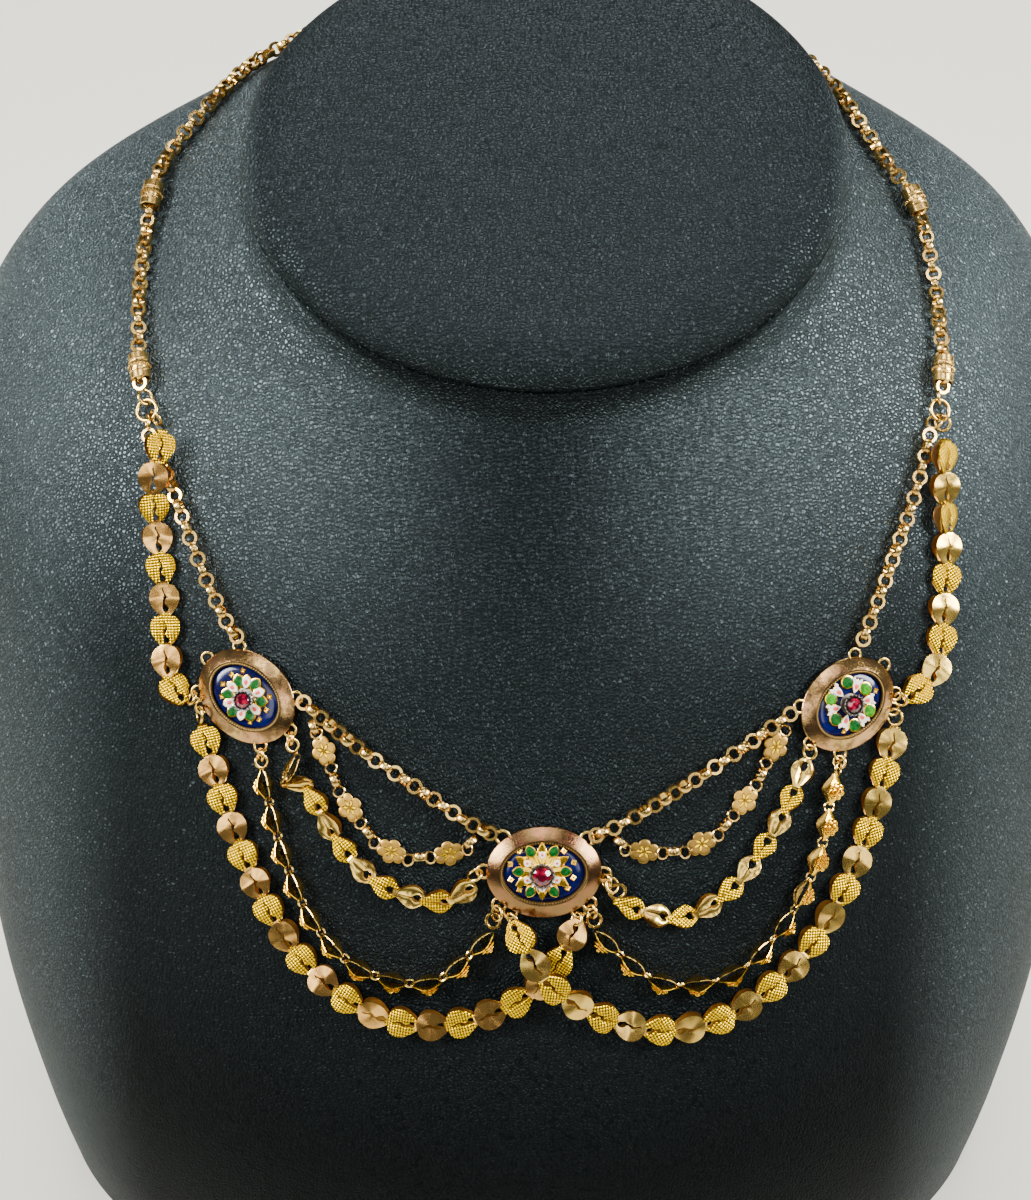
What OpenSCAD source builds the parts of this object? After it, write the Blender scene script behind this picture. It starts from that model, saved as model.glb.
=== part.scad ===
// Festoon necklace of gold leaf, lozenge and flower links with three enamel plaques,
// hung on a plain padded neck bust. Millimetres, +Z up, the chest faces -Y.

/* [Bust] */
// How far the padded face of the neck rises above its seam
cap_rise = 5; // [2:0.5:8]
// How wide the rounded edge of the neck's face is
cap_edge = 12; // [6:1:16]

/* [Plaques] */
// Length of each oval plaque along its long axis
plaque_long = 20.2; // [18:0.1:21]
// Width of each oval plaque
plaque_short = 16.2; // [15:0.1:17]
// Width of the sloping gold rim
rim_w = 2.4; // [1.8:0.1:3]
// Height of the bezel above the back of the plaque
rim_h = 2.3; // [1.8:0.1:2.8]

/* [Chains] */
// Outer diameter of the fine ring chain
belcher_d = 2.7; // [2:0.1:2.9]
// Width of a wide leaf link
leaf_w = 5; // [4:0.1:5.2]
// Width of a narrow leaf link
narrow_w = 3.9; // [3:0.1:4.2]
// Thickness of a leaf link at its swelling
leaf_t = 2.4; // [1.6:0.1:2.6]
// Gap left between the necklace and the bust
gap = 0.3; // [0.2:0.05:0.5]

/* [Hidden] */

// Bust sections from the base up to the seam of the neck's face, each an oval in a plane that
// tilts back: the front point's y and z, the tilt, the depth ahead of and behind the widest
// place, the half width, and how far the section lies to the side
SECTIONS = [
    [-84,   0,  0, 56, 112,  94, 0],
    [-90,  24,  1, 66, 113,  98, 0],
    [-87,  50,  2, 76, 100, 104, 0],
    [-75,  78,  3, 86,  78, 109, 0],
    [-58, 105,  5, 92,  56, 111, 0],
    [-38, 128,  8, 86,  43, 107, 0],
    [-20, 146, 14, 74,  39,  92, 1],
    [ -9, 156, 20, 60, 42,  69, 3],
    [ -3, 161, 25, 48, 41,  56, 4],
    [ -2, 165, 28, 45, 43,  53, 4],
    [ -2, 168, 28, 45, 44,  54, 4]
];
last = len(SECTIONS) - 1;
bust_sides = 56;
bust_step = 0.5;

// Face coordinates: x across, and v up the slope of the chest from the centre plaque
face_slope = 45;
face_origin = [0, -57.6, 105.4];

// Plaques: x, v, the turn of the long axis, and the size as a share of the middle one
PLAQUES = [[-47.85, 31.5, -36, 0.945], [3.7, 1.3, 0, 1], [56.8, 30.1, 36, 0.945]];
// Where each plaque's wire loops stand round its rim, in degrees from +x
LOOPS = [
    [99, 138, 176, 193, 286, 324, 359],
    [139, 38, 179, 358, 216, 230, 325, 311],
    [81, 44, 10, 353, 261, 223, 181]
];
plaque_lift = 0.4;
plate_t = 0.8;
loop_r = 0.95;
loop_wire = 0.55;
loop_h = 1;
bezel_w = 0.5;
dome_h = 1.1;
rim_steps = 48;

// Neck chain from the side ring round to the middle of the back: angle round the bust, section
// level, and lift off the bust, which is higher where a barrel bead sits
NECK_LEFT = [
    [215.6, 6.33, 0.6], [213.4, 6.4, 0.8], [204, 6.62, 0], [190, 6.87, 0], [183, 6.97, 0.8],
    [172, 7.06, 0], [157, 7.2, 0], [140, 7.15, 0], [115, 7.1, 0], [94.8, 7.1, 0]
];
NECK_RIGHT = [
    [325.9, 6.2, 0.6], [328, 6.28, 0.8], [336.5, 6.57, 0], [346, 6.82, 0], [355.5, 7.1, 0.8],
    [363, 7.35, 0], [372, 7.55, 0], [382, 7.6, 0], [405, 7.4, 0], [428, 7.15, 0], [445.2, 7.1, 0]
];
// Barrel beads sit at these control points of the neck chain, upper and lower
BARRELS = [4, 1];
barrel_r = 2.15;
barrel_bore = 1.8;
barrel_l = 5.2;
clasp_r = 1.7;
clasp_l = 9;

// Strands in face coordinates, from the outside in: x, v and lift
BELCHER_SIDE_LEFT = [[-65.2, 76.6], [-61.3, 68.5], [-58, 59.5], [-55, 52], [-51.5, 45], [-49.3, 42]];
BELCHER_SIDE_RIGHT = [[71.5, 76.8], [69.8, 70], [67.5, 63], [65, 56.5], [62.8, 50.5], [59.3, 41.5]];
BELCHER_FRONT_LEFT = [[-37, 30], [-29.5, 23.8], [-20, 17], [-10.5, 10.7], [-5.5, 8.2]];
BELCHER_FRONT_RIGHT = [[45.6, 28], [38, 22.5], [28, 16.2], [18, 10.2], [12.7, 7.6]];
LEAF_SIDE_LEFT = [
    [-62.8, 77.5, 2.9], [-62.3, 74.5, 3.1], [-63.6, 69, 2.5], [-64.1, 63, 0.7], [-63.4, 55], [-62.5, 47.5],
    [-62.2, 40], [-61.7, 35], [-60.2, 32], [-58.8, 30.9]
];
LEAF_SIDE_RIGHT = [
    [73.4, 76.8, 2.5], [73.2, 73.5, 2.5], [74.1, 66, 1], [75, 57], [74.3, 46], [73.7, 39], [72.2, 34.7],
    [69.2, 32.3], [67.6, 31]
];
LEAF_OUTER_LEFT = [
    [-55.5, 25.4], [-53.5, 18.3], [-50.3, 8.5], [-46.2, -1.2], [-41.2, -10.5], [-34.5, -18.3],
    [-25.6, -23.9], [-15.4, -25.8], [-5.2, -23.5], [2.8, -18.6], [7, -13], [9.6, -7.6]
];
LEAF_OUTER_RIGHT = [
    [65.2, 25.2], [63.4, 18], [60.3, 7.2], [56.4, -2.4], [51, -11.6], [44, -19.2],
    [35, -24.9, 0], [24.7, -26.8, 0], [14.8, -24.5, 0.4], [6, -18.7, 2.4], [2.3, -14.2, 2.8],
    [-0.3, -9.7, 1.6], [-1.6, -7.4, 0.4]
];
LEAF_INNER_LEFT = [
    [-39.6, 21.4], [-38.4, 17], [-35.6, 13.2], [-31, 5.5], [-24.2, -1], [-14.7, -3.7],
    [-10.2, -2.1], [-8.7, -0.9]
];
LEAF_INNER_RIGHT = [
    [49.4, 20.4], [46.6, 13.8], [42.2, 6], [36, -2], [27.4, -6.8], [18.6, -4.8], [16.8, -3.2]
];
FLOWERS_LEFT = [[-36.1, 26.5], [-34.1, 21.5], [-30, 12.5], [-22.4, 4.6], [-12.8, 4.4], [-8.4, 6.9]];
FLOWERS_RIGHT = [[45.2, 24.7], [43.6, 22], [38.5, 13.3], [30.9, 5.9], [21, 4.7], [16.4, 6.7]];
LOZENGES_LEFT = [
    [-44.6, 18.6], [-44.3, 15.8], [-41.3, 4.2], [-36.4, -7.2], [-28.1, -15.8], [-16, -18],
    [-7.3, -11.3], [-5.3, -8.6]
];
LOZENGES_RIGHT = [
    [54.2, 17.8], [53.7, 14.5], [51.4, 3.2], [45.7, -8.1], [36.6, -16.9], [24.3, -18.1],
    [14.6, -10.9], [12.8, -8.4]
];

// Links on each strand
side_links = 9;
outer_links = 20;
inner_links = 10;
lozenge_links = 11;

// One leaf link from its tab to its hole: place along the link, width and thickness as shares
LEAF = [[-0.46, 0.26, 0.4], [-0.3, 0.72, 0.75], [-0.05, 1, 1], [0.2, 0.9, 0.95], [0.4, 0.5, 0.6]];
// One flower plate: place along the strand from its middle, width and thickness as shares
FLOWER = [
    [-0.07, 0.36, 1], [-0.06, 0.7, 0.7], [-0.025, 1, 0.7], [0.025, 1, 0.7], [0.06, 0.7, 0.7],
    [0.07, 0.36, 1]
];
// Where the middles of the flowers lie along their strand
FLOWERS_AT = [[0.115, 0.377, 0.632, 0.878], [0.075, 0.334, 0.607, 0.869]];
flower_w = 4.2;
flower_t = 1.2;
// One lozenge link: two plates that bow apart between the small rings
LOZENGE = [[-0.46, 0.4, 0.4], [-0.2, 0.62, 0.62], [0, 1, 1], [0.2, 0.62, 0.62], [0.38, 0.4, 0.4]];
lozenge_w = 3;
lozenge_t = 2.9;

// Jump rings hung from the plaque loops: which loop, heading away from it, distance from the
// loop's middle, tilt of the ring about that heading, and mean radius
RINGS_PLAQUE = [
    [[2, 240, 1.3, 50, 1], [3, 272, 1.45, 50, 1.15], [4, 272, 1.25, 50, 0.9],
        [4, 274, 2.5, -40, 0.9], [5, 262, 1.3, 50, 0.95], [5, 276, 2.55, -40, 0.9]],
    [[2, 208, 1.3, 60, 1], [3, 272, 1.2, 50, 0.85], [3, 298, 2.2, -40, 1],
        [4, 265, 1.35, 50, 1], [5, 300, 1.2, 50, 0.9], [6, 275, 1.25, 50, 0.9],
        [7, 245, 1.2, 50, 0.85]],
    [[2, 300, 1.3, 50, 1], [3, 270, 1.45, 50, 1.15], [4, 262, 1.25, 50, 0.9],
        [4, 260, 2.5, -40, 0.9], [5, 275, 1.35, 50, 1]]
];
// Small rings above and below each side ring: x, v, heading, tilt, lift and mean radius
RINGS_SIDE = [
    [[-66.57, 84.22, 99, 55, 1.6, 1.25], [-66, 79.56, 275, 55, 1.6, 1.25],
        [-64.48, 80.36, 318, 55, 1.6, 1.25]],
    [],
    [[73.82, 84.52, 92, 55, 1.6, 1.25], [72.8, 80.13, 242, 55, 1.6, 1.25],
        [74.36, 79.9, 282, 55, 1.6, 1.25]]
];
ring_wire = 0.5;
SIDE_RINGS = [[-66.2, 81.9], [73.9, 82.2]];
side_ring_r = 1.9;
side_ring_wire = 0.75;
side_ring_h = 1.6;

function unit(v) = v / norm(v);

// A value on a smooth curve through four rows
function smooth(p0, p1, p2, p3, t) = 0.5 * (2 * p1 + (p2 - p0) * t
    + (2 * p0 - 5 * p1 + 4 * p2 - p3) * t * t + (3 * p1 - 3 * p2 + p3 - p0) * t * t * t);
function along(rows, s) = let (
    n = len(rows) - 1,
    i = max(0, min(floor(s), n - 1)))
    smooth(rows[max(i - 1, 0)], rows[i], rows[i + 1], rows[min(i + 2, n)], s - i);

// The bust's skin at a section level and an angle round it, and its outward normal
function skin(s, a) = let (
    r = along(SECTIONS, s),
    d = (sin(a) < 0 ? r[3] : r[4]) * sin(a) + r[3])
    [r[5] * cos(a) + r[6], r[0] + d * cos(r[2]), r[1] + d * sin(r[2])];
function skin_normal(s, a) = let (e = 0.01) unit(cross(
    skin(s, a + 1) - skin(s, a - 1), skin(min(s + e, last), a) - skin(max(s - e, 0), a)));

// The level on the bust's front at face coordinates x and v, found by halving
function slope_v(p) = (p - face_origin) * [0, sin(face_slope), cos(face_slope)];
function front_angle(s, x) = let (r = along(SECTIONS, s)) 360 - acos((x - r[6]) / r[5]);
function is_off(s, x) = let (r = along(SECTIONS, s)) abs(x - r[6]) >= r[5];
function level(x, v, lo = 1, hi = last, k = 16) = let (m = (lo + hi) / 2)
    k == 0 ? m : is_off(m, x) || slope_v(skin(m, front_angle(m, x))) > v
        ? level(x, v, lo, m, k - 1) : level(x, v, m, hi, k - 1);

// A place on the skin: point and normal
function place(s, a) = [skin(s, a), skin_normal(s, a)];
function face_place(x, v) = let (s = level(x, v)) place(s, front_angle(s, x));

// Routes: smooth curves through their control points, laid on the skin and lifted off it
route_steps = 6;
function dense(rows) = [for (i = [0 : len(rows) - 2], j = [0 : route_steps - 1])
    along(rows, i + j / route_steps), rows[len(rows) - 1]];
function lifted(p, h) = [p[0] + p[1] * h, p[1]];
function padded(rows) = [for (r = rows) [r[0], r[1], len(r) > 2 ? r[2] : 0]];
function face_route(rows, h) = [for (r = dense(padded(rows)))
    lifted(face_place(r[0], r[1]), h + r[2])];
function facing(route, share) = [for (p = route) [p[0], unit(p[1] + [0, -0.7, 0.7] * share)]];
function neck_route(rows, h) = [for (r = dense(rows)) lifted(place(r[1], r[0]), h + r[2])];
function run(route) = [for (i = 0, d = 0; i < len(route);
    d = d + (i < len(route) - 1 ? norm(route[i + 1][0] - route[i][0]) : 0), i = i + 1) d];

// A frame on a route at a share of its length: point, direction, side and normal
function frame_at(route, lengths, share) = let (
    n = len(route) - 1,
    f = lookup(share * lengths[n], [for (i = [0 : n]) [lengths[i], i]]),
    i = min(floor(f), n - 1),
    t = f - i,
    p = route[i][0] * (1 - t) + route[i + 1][0] * t,
    d = unit(route[i + 1][0] - route[i][0]),
    m = route[i][1] * (1 - t) + route[i + 1][1] * t,
    b = unit(cross(m, d)))
    [p, d, b, cross(d, b)];

// Rings of an oval section carried along a route, each with its own width and thickness
module swept(route, stations, w, t, sides = 8) {
    lengths = run(route);
    points = [for (q = stations, f = [frame_at(route, lengths, q[0])], k = [0 : sides - 1])
        f[0] + f[2] * w * q[1] / 2 * cos(360 * k / sides)
             + f[3] * t * q[2] / 2 * sin(360 * k / sides)];
    count = len(stations);
    faces = concat(
        [[for (k = [0 : sides - 1]) k]],
        [for (i = [0 : count - 2], k = [0 : sides - 1])
            [i * sides + k, (i + 1) * sides + k,
             (i + 1) * sides + (k + 1) % sides, i * sides + (k + 1) % sides]],
        [[for (k = [sides - 1 : -1 : 0]) (count - 1) * sides + k]]);
    polyhedron(points, faces, convexity = 8);
}

// A strand of like links, and a plain tube for the fine chain
module strand(route, links, shape, w, t)
    swept(route, [for (i = [0 : links - 1], q = shape) [(i + 0.5 + q[0]) / links, q[1], q[2]]], w, t);
module tube(route, d, rings)
    swept(route, [for (i = [0 : rings - 1]) [i / (rings - 1), 1, 1]], d, d);

// Puts a piece on the bust: its own z along the normal
module stand_on(p, h = 0, turn = 0) {
    n = p[1];
    ex = unit([1, 0, 0] - n * n[0]);
    ey = cross(n, ex);
    o = p[0] + n * h;
    multmatrix([
        [ex[0], ey[0], n[0], o[0]],
        [ex[1], ey[1], n[1], o[1]],
        [ex[2], ey[2], n[2], o[2]]])
        rotate([0, 0, turn]) children();
}
module on_plaque(i, h = 0, turned = true)
    stand_on(face_place(PLAQUES[i][0], PLAQUES[i][1]), plaque_lift, turned ? PLAQUES[i][2] : 0)
        scale(PLAQUES[i][3]) translate([0, 0, h]) children();

module wire_ring(r, wire) rotate_extrude($fn = 32) translate([r, 0]) circle(d = wire, $fn = 16);

// Bust: sections up to the seam, then the padded face closing over the neck
function cap_ring(a, c) = let (
    r = along(SECTIONS, last),
    keep = 1 - cap_edge * (1 - cos(c)) / r[5],
    o = [r[6], r[0] + r[3] * cos(r[2]), r[1] + r[3] * sin(r[2])])
    o + (skin(last, a) - o) * keep + [0, -sin(r[2]), cos(r[2])] * cap_rise * sin(c);
module bust() color([0.09, 0.1, 0.11]) {
    levels = [0 : bust_step : last];
    caps = [30, 60, 90];
    rings = concat(
        [for (s = levels) [for (k = [0 : bust_sides - 1]) skin(s, 360 * k / bust_sides)]],
        [for (c = caps) [for (k = [0 : bust_sides - 1]) cap_ring(360 * k / bust_sides, c)]]);
    count = len(rings);
    polyhedron([for (r = rings, p = r) p], concat(
        [[for (k = [0 : bust_sides - 1]) k]],
        [for (i = [0 : count - 2], k = [0 : bust_sides - 1])
            [i * bust_sides + k, (i + 1) * bust_sides + k,
             (i + 1) * bust_sides + (k + 1) % bust_sides, i * bust_sides + (k + 1) % bust_sides]],
        [[for (k = [bust_sides - 1 : -1 : 0]) (count - 1) * bust_sides + k]]), convexity = 6);
}

// Plaque frame: back plate, sloping rim, bezel and soldered loops
function oval(inset, k) = [
    (plaque_long / 2 - inset) * cos(360 * k / rim_steps),
    (plaque_short / 2 - inset) * sin(360 * k / rim_steps)];
module oval_loft(profile) {
    count = len(profile);
    polyhedron([for (q = profile, k = [0 : rim_steps - 1]) [oval(q[0], k)[0], oval(q[0], k)[1], q[1]]],
        concat(
            [[for (k = [0 : rim_steps - 1]) k]],
            [for (i = [0 : count - 2], k = [0 : rim_steps - 1])
                [i * rim_steps + k, (i + 1) * rim_steps + k,
                 (i + 1) * rim_steps + (k + 1) % rim_steps, i * rim_steps + (k + 1) % rim_steps]],
            [[for (k = [rim_steps - 1 : -1 : 0]) (count - 1) * rim_steps + k]]), convexity = 6);
}
function loop_place(i, a) = let (
    b = a - PLAQUES[i][2],
    e = 1 / norm([cos(b) / (plaque_long / 2), sin(b) / (plaque_short / 2)]))
    [cos(a), sin(a), 0] * (e + loop_r - loop_wire / 2) + [0, 0, loop_h];
module plaque_frame(i) color([0.76, 0.55, 0.4]) {
    on_plaque(i) oval_loft([
        [0.4, 0], [0, 0.4], [0, 0.9], [rim_w, rim_h], [rim_w + bezel_w, rim_h],
        [rim_w + bezel_w, plate_t]]);
    on_plaque(i, 0, false) for (a = LOOPS[i]) translate(loop_place(i, a))
        wire_ring(loop_r, loop_wire);
}
module enamel(i) color([0.05, 0.12, 0.55]) on_plaque(i, plate_t + 0.02) oval_loft([
    for (q = [[0.15, 0], [0.15, 0.5], [1.2, 0.75], [2.6, 0.95], [4, dome_h]])
        [rim_w + bezel_w + q[0], q[1]]]);

// Raised ornament: a twelve-lobed star with a stepped middle
lobes = 12;
star_steps = 48;
function star(r, dip, k) = let (a = 360 * k / star_steps)
    r * (1 - dip * (1 - cos(lobes * a)) / 2) * [1.15 * cos(a), 0.95 * sin(a)];
module ornament(i) color([0.85, 0.85, 0.75]) on_plaque(i, plate_t + dome_h + 0.05) {
    rows = [[4, 0], [4.1, 0.3], [2.6, 0.8]];
    count = len(rows);
    polyhedron([for (q = rows, k = [0 : star_steps - 1]) let (s = star(q[0], 0.22, k)) [s[0], s[1], q[1]]],
        concat(
            [[for (k = [0 : star_steps - 1]) k]],
            [for (j = [0 : count - 2], k = [0 : star_steps - 1])
                [j * star_steps + k, (j + 1) * star_steps + k,
                 (j + 1) * star_steps + (k + 1) % star_steps, j * star_steps + (k + 1) % star_steps]],
            [[for (k = [star_steps - 1 : -1 : 0]) (count - 1) * star_steps + k]]), convexity = 4);
}
collet_h = 1.1;
ruby_r = 1.25;
stack_h = plate_t + dome_h + 0.85;
module collet(i) color([0.7, 0.7, 0.7]) on_plaque(i, stack_h) difference() {
    cylinder(r1 = 1.3, r2 = 1.75, h = collet_h, $fn = 32);
    translate([0, 0, 0.4]) cylinder(r = ruby_r + 0.1, h = collet_h, $fn = 32);
}
module ruby(i) color([0.7, 0.05, 0.15]) on_plaque(i, stack_h + 0.4) rotate_extrude($fn = 32)
    polygon([[0, 0.05], [0.4, 0.05], [ruby_r, 0.75], [ruby_r, 0.9], [0.75, 1.25], [0, 1.25]]);

gold = [0.88, 0.68, 0.3];
chain_h = gap + belcher_d / 2;
leaf_h = gap + leaf_t / 2;
lozenge_h = gap + lozenge_t / 2;
flower_h = gap + flower_t / 2;

module neck_chain(rows) color(gold) tube(neck_route(rows, chain_h), belcher_d, 27);
module belcher(rows, rings) color(gold) tube(face_route(rows, chain_h), belcher_d, rings);
module barrel(rows, which) color(gold) {
    route = neck_route(rows, chain_h);
    lengths = run(route);
    f = frame_at(route, lengths, lengths[BARRELS[which] * route_steps] / lengths[len(route) - 1]);
    multmatrix([
        [f[2][0], f[3][0], f[1][0], f[0][0]],
        [f[2][1], f[3][1], f[1][1], f[0][1]],
        [f[2][2], f[3][2], f[1][2], f[0][2]]])
        rotate_extrude($fn = 32) polygon([
            [barrel_bore, -barrel_l / 2], [barrel_r, -barrel_l / 2], [barrel_r, barrel_l / 2],
            [barrel_bore, barrel_l / 2]]);
}
module clasp() color(gold) {
    p = place(7.1, 90);
    translate(p[0] + p[1] * (gap + clasp_r)) rotate([0, 90, 0])
        cylinder(r = clasp_r, h = clasp_l, center = true, $fn = 32);
}
module side_ring(i) color(gold) stand_on(face_place(SIDE_RINGS[i][0], SIDE_RINGS[i][1]), side_ring_h)
    wire_ring(side_ring_r, side_ring_wire);
module leaf(rows, links, w) color(gold)
    strand(facing(face_route(rows, leaf_h), 0.6), links, LEAF, w, leaf_t);
module flowers(rows, at) color(gold) swept(face_route(rows, flower_h), concat(
    [[0, 0.3, 1]], [for (a = at, q = FLOWER) [a + q[0], q[1], q[2]]], [[1, 0.3, 1]]),
    flower_w, flower_t);
module lozenges(rows) color(gold)
    strand(face_route(rows, lozenge_h), lozenge_links, LOZENGE, lozenge_w, lozenge_t);
module rings(i) color(gold) {
    for (r = RINGS_PLAQUE[i]) on_plaque(i, 0, false)
        translate(loop_place(i, LOOPS[i][r[0]]) + [cos(r[1]), sin(r[1]), 0] * r[2])
            rotate([0, 0, r[1]]) rotate([r[3], 0, 0]) wire_ring(r[4], ring_wire);
    for (r = RINGS_SIDE[i]) stand_on(face_place(r[0], r[1]), r[4], r[2])
        rotate([r[3], 0, 0]) wire_ring(r[5], ring_wire);
}

bust();
plaque_frame(0);  // frame_left
plaque_frame(1);  // frame_centre
plaque_frame(2);  // frame_right
enamel(0);  // enamel_left
enamel(1);  // enamel_centre
enamel(2);  // enamel_right
ornament(0);  // ornament_left
ornament(1);  // ornament_centre
ornament(2);  // ornament_right
collet(0);  // collet_left
collet(1);  // collet_centre
collet(2);  // collet_right
ruby(0);  // ruby_left
ruby(1);  // ruby_centre
ruby(2);  // ruby_right
neck_chain(NECK_LEFT);  // neck_chain_left
neck_chain(NECK_RIGHT);  // neck_chain_right
clasp();
barrel(NECK_LEFT, 0);  // barrel_left_upper
barrel(NECK_LEFT, 1);  // barrel_left_lower
barrel(NECK_RIGHT, 0);  // barrel_right_upper
barrel(NECK_RIGHT, 1);  // barrel_right_lower
side_ring(0);  // side_ring_left
side_ring(1);  // side_ring_right
belcher(BELCHER_SIDE_LEFT, 9);  // belcher_side_left
belcher(BELCHER_SIDE_RIGHT, 9);  // belcher_side_right
belcher(BELCHER_FRONT_LEFT, 9);  // belcher_front_left
belcher(BELCHER_FRONT_RIGHT, 9);  // belcher_front_right
leaf(LEAF_SIDE_LEFT, side_links, leaf_w);  // leaf_side_left
leaf(LEAF_SIDE_RIGHT, side_links, leaf_w);  // leaf_side_right
leaf(LEAF_OUTER_LEFT, outer_links, leaf_w);  // leaf_outer_left
leaf(LEAF_OUTER_RIGHT, outer_links, leaf_w);  // leaf_outer_right
leaf(LEAF_INNER_LEFT, inner_links, narrow_w);  // leaf_inner_left
leaf(LEAF_INNER_RIGHT, inner_links, narrow_w);  // leaf_inner_right
flowers(FLOWERS_LEFT, FLOWERS_AT[0]);  // flowers_left
flowers(FLOWERS_RIGHT, FLOWERS_AT[1]);  // flowers_right
lozenges(LOZENGES_LEFT);  // lozenges_left
lozenges(LOZENGES_RIGHT);  // lozenges_right
rings(0);  // rings_left
rings(1);  // rings_centre
rings(2);  // rings_right
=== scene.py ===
"""Festoon necklace with three enamelled plaques on a padded black neck bust.

All shapes are worked out in millimetres in the frame of the CAD model and become metres when a
mesh is made. The chest faces -Y and +Z is up.
"""
import math
import bpy
import numpy as np
from mathutils import Matrix


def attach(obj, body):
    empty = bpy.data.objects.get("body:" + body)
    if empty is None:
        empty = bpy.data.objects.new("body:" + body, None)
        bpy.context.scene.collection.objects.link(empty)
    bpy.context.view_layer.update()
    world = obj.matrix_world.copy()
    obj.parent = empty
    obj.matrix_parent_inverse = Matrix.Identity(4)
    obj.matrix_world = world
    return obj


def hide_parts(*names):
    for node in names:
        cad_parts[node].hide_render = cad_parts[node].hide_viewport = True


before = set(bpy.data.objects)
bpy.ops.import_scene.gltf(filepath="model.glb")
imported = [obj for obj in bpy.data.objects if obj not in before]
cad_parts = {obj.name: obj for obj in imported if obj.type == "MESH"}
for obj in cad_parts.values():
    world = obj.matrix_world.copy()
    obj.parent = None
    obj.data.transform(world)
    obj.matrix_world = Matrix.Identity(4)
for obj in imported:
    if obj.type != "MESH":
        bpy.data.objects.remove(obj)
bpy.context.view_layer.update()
MM = 0.001
TAU = 2 * math.pi

# Sizes and tables, as in the CAD

# Bust sections: front y and z, tilt, depth ahead of and behind the widest place, half width, shift
SECTIONS = np.array([
    [-84, 0, 0, 56, 112, 94, 0], [-90, 24, 1, 66, 113, 98, 0], [-87, 50, 2, 76, 100, 104, 0],
    [-75, 78, 3, 86, 78, 109, 0], [-58, 105, 5, 92, 56, 111, 0], [-38, 128, 8, 86, 43, 107, 0],
    [-20, 146, 14, 74, 39, 92, 1], [-9, 156, 20, 60, 42, 69, 3], [-3, 161, 25, 48, 41, 56, 4],
    [-2, 165, 28, 45, 43, 53, 4], [-2, 168, 28, 45, 44, 54, 4]], float)
TOP = len(SECTIONS) - 1
CAP_RISE, CAP_EDGE = 5.0, 12.0
FACE_ORIGIN = np.array([0, -57.6, 105.4])
SLOPE = np.array([0, math.sin(math.radians(45)), math.cos(math.radians(45))])
TO_CAMERA = np.array([0, -0.7, 0.7])

# Plaques: x, v, turn of the long axis, size as a share of the middle one
PLAQUES = [[-47.85, 31.5, -36, 0.945], [3.7, 1.3, 0, 1], [56.8, 30.1, 36, 0.945]]
# Soldered loops of each plaque: angles in the face's own directions
LOOPS = [[99, 138, 176, 193, 286, 324, 359], [139, 38, 179, 358, 216, 230, 325, 311],
         [81, 44, 10, 353, 261, 223, 181]]
PLAQUE_LONG, PLAQUE_SHORT, RIM_W, BEZEL_W = 20.2, 16.2, 2.4, 0.5
PLAQUE_LIFT, PLATE_T, DOME_H = 0.4, 0.8, 1.1
LOOP_R, LOOP_WIRE, LOOP_H = 0.95, 0.55, 1.0

# Neck chain: angle round the bust, section level, lift. The barrel beads lie at two of the rows
NECK_LEFT = [[215.6, 6.33, 0.6], [213.4, 6.4, 0.8], [204, 6.62, 0], [190, 6.87, 0],
             [183, 6.97, 0.8], [172, 7.06, 0], [157, 7.2, 0], [140, 7.15, 0], [115, 7.1, 0],
             [94.8, 7.1, 0]]
NECK_RIGHT = [[325.9, 6.2, 0.6], [328, 6.28, 0.8], [336.5, 6.57, 0], [346, 6.82, 0],
              [355.5, 7.1, 0.8], [363, 7.35, 0], [372, 7.55, 0], [382, 7.6, 0], [405, 7.4, 0],
              [428, 7.15, 0], [445.2, 7.1, 0]]
BARREL_ROWS = [4, 1]
CLASP_LEVEL = 7.1

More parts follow.
